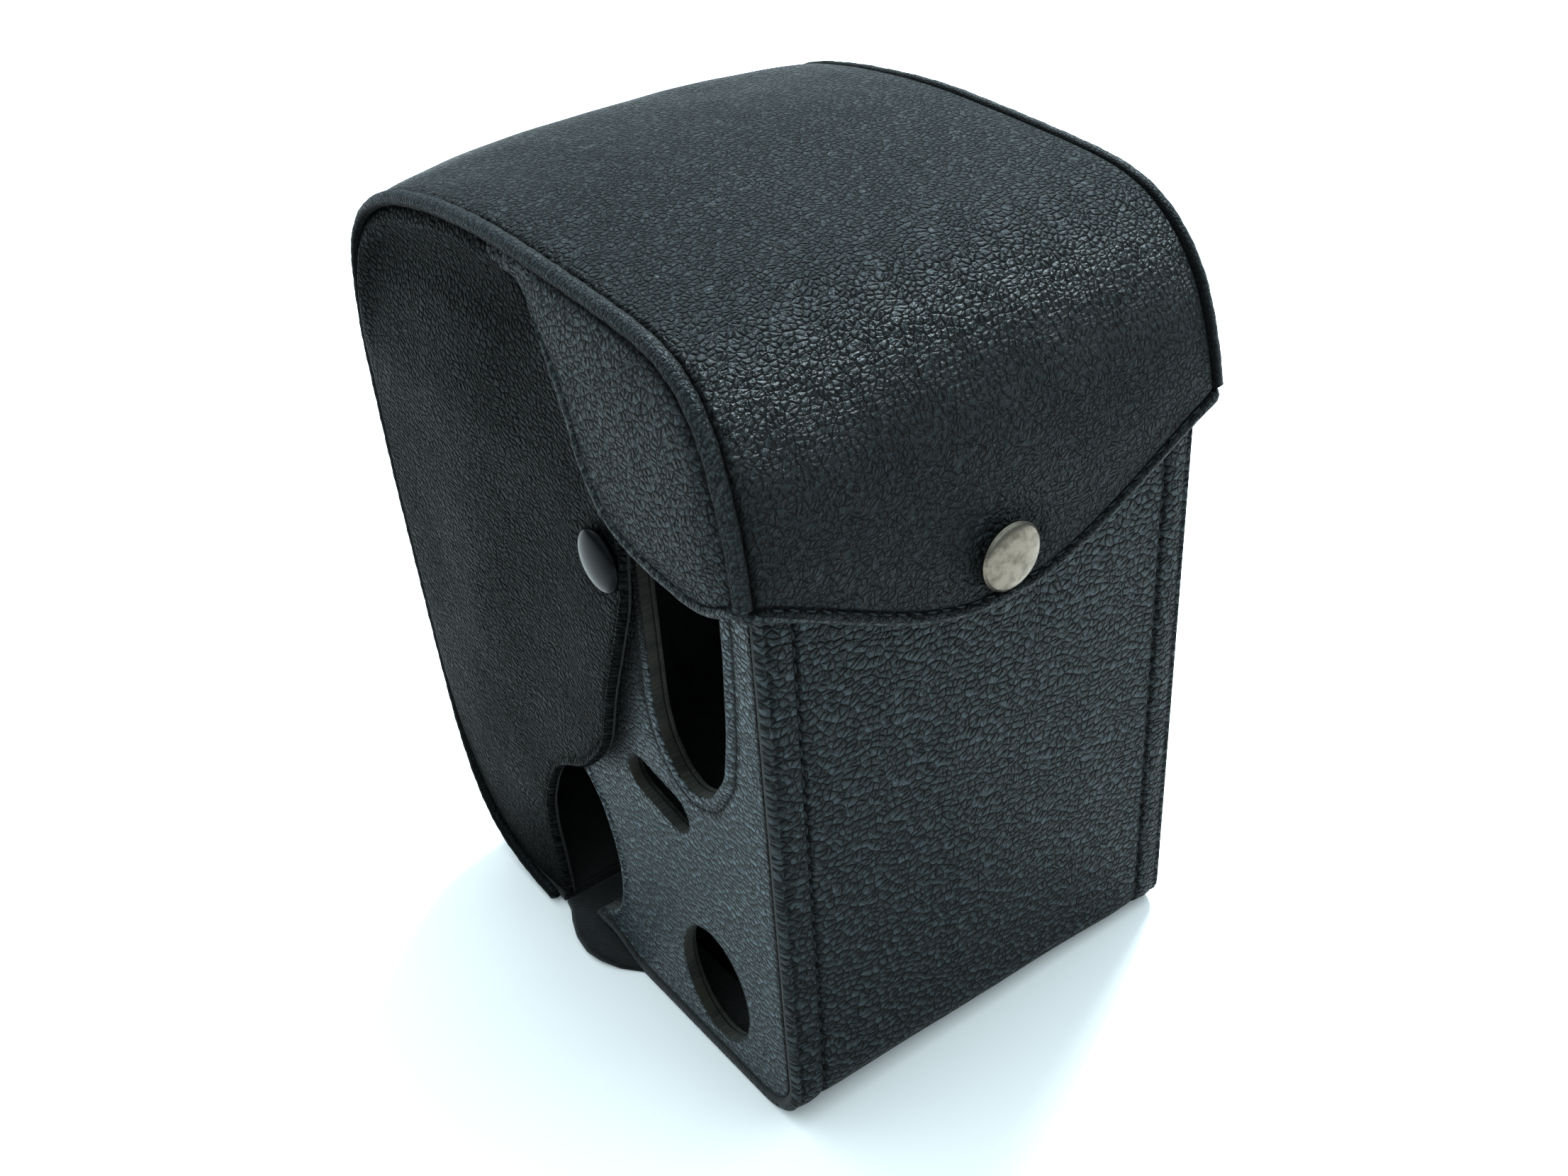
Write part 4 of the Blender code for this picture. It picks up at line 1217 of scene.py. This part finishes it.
def build_all():
    """Builds every piece, and says which body it belongs to and which CAD nodes it stands for."""
    fold = at(0, 14, 168), at(0, 2, 168)
    attach(build_strip(), "lid", "leather", "cover_front", "lid_panel", fold=fold)
    attach(build_linings(), "lid", "felt", "cover_lining", "lid_lining", fold=fold)
    attach(build_back(), "case", "leather", "box_back_base")
    top, low = np.array(FOLD_TOP), np.array(FOLD_LOW)
    along = (low - top) / math.dist(low, top)
    middle, step = (top + low) / 2, 4.5 * np.array([-along[1], along[0]])
    for side, sign in (("left", -1), ("right", 1)):
        attach(build_welt(side, sign), "lid", "leather", "cover_welt_" + side, "lid_welt_" + side, fold=fold)
        ear_fold = at(sign * SIDE_OUTER, *(middle + step)), at(sign * SIDE_OUTER, *(middle - step))
        attach(build_cheek(side, sign), side + "_ear", "leather", "cover_cheek_" + side, "ear_" + side,
               fold=ear_fold)
        attach(build_gusset(side, sign), "lid", "leather", "lid_gusset_" + side,
               fold=(at(0, 14, 162), at(0, 3, 162)))
        attach(build_side(side, sign), "case", "leather", "box_side_" + side)
    build_box_linings()
    build_tongue()
    build_snaps()
    build_seams()
    build_hem_bead()
    for node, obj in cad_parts.items():
        if obj.hide_render:
            continue
        metal = STEEL if node in ("base_plate", "case_screw") else NICKEL
        obj.data.materials.clear()
        obj.data.materials.append(metal)


# ------------------------------------------------------------------ stage, light, camera

def build_stage():
    """White floor, a studio sky that is dimmer near the floor, and two soft lamps."""
    floor_mesh = bpy.data.meshes.new("floor")
    corners = [(x * FLOOR_HALF, y * FLOOR_HALF, 0) for x, y in ((-1, -1), (1, -1), (1, 1), (-1, 1))]
    floor_mesh.from_pydata(corners, [], [(0, 1, 2, 3)])
    floor = bpy.data.objects.new("floor", floor_mesh)
    bpy.context.scene.collection.objects.link(floor)
    n = Nodes("floor_white")
    n.fix("Base Color", colour((0.80, 0.765, 0.75)))
    n.fix("Roughness", 0.75)
    n.fix("Emission Color", colour((0.86, 0.97, 1.0)))
    n.fix("Emission Strength", 0.12)
    floor_mesh.materials.append(n.material)
    world = bpy.data.worlds.new("studio")
    world.use_nodes = True
    tree = world.node_tree
    sky = tree.nodes["Background"]
    sky.inputs["Color"].default_value = (0.79, 0.94, 1.0, 1)
    aim = tree.nodes.new("ShaderNodeTexCoord")
    parts = tree.nodes.new("ShaderNodeSeparateXYZ")
    rise = tree.nodes.new("ShaderNodeMapRange")
    rise.interpolation_type = "SMOOTHSTEP"
    for socket, value in zip(rise.inputs[1:5], (0.0, 0.95, 0.65, 2.1)):
        socket.default_value = value
    tree.links.new(aim.outputs["Generated"], parts.inputs[0])
    tree.links.new(parts.outputs["Z"], rise.inputs[0])
    tree.links.new(rise.outputs[0], sky.inputs["Strength"])
    bpy.context.scene.world = world
    lamps = (("key", (0.66, 0.41, 1.13), (0.0, -0.02, 0.12), 0.50, 38.0),
             ("back", (-0.15, 1.05, 1.0), (0.0, 0.0, 0.10), 1.0, 3.0))
    for name, spot, target, size, power in lamps:
        light = bpy.data.lights.new(name, "AREA")
        light.shape = "DISK"
        light.size = size
        light.energy = power
        light.color = (0.84, 0.955, 1.0)
        lamp = bpy.data.objects.new(name, light)
        lamp.location = spot
        lamp.rotation_euler = (Vector(target) - Vector(spot)).to_track_quat("-Z", "Y").to_euler()
        bpy.context.scene.collection.objects.link(lamp)


def build_camera():
    """Camera above the rear left corner of the case, tipped a little to one side."""
    azimuth, elevation, roll = (math.radians(degrees) for degrees in (-34.79, 34.13, -4.205))
    back = Vector((math.sin(azimuth) * math.cos(elevation), -math.cos(azimuth) * math.cos(elevation),
                   math.sin(elevation)))
    right = Vector((0, 0, 1)).cross(back).normalized()
    up = back.cross(right)
    turned_right = right * math.cos(roll) + up * math.sin(roll)
    turned_up = up * math.cos(roll) - right * math.sin(roll)
    data = bpy.data.cameras.new("camera")
    data.lens = 40.55
    data.sensor_width = 36
    data.clip_start = 0.01
    camera = bpy.data.objects.new("camera", data)
    spot = at(-175.3, -246.5, 282.5)
    camera.matrix_world = Matrix(((turned_right.x, turned_up.x, back.x, spot[0]),
                                  (turned_right.y, turned_up.y, back.y, spot[1]),
                                  (turned_right.z, turned_up.z, back.z, spot[2]),
                                  (0, 0, 0, 1)))
    bpy.context.scene.collection.objects.link(camera)
    bpy.context.scene.camera = camera


build_all()
build_stage()
build_camera()
bpy.context.scene.view_settings.view_transform = "Standard"
bpy.context.scene.view_settings.gamma = 0.72
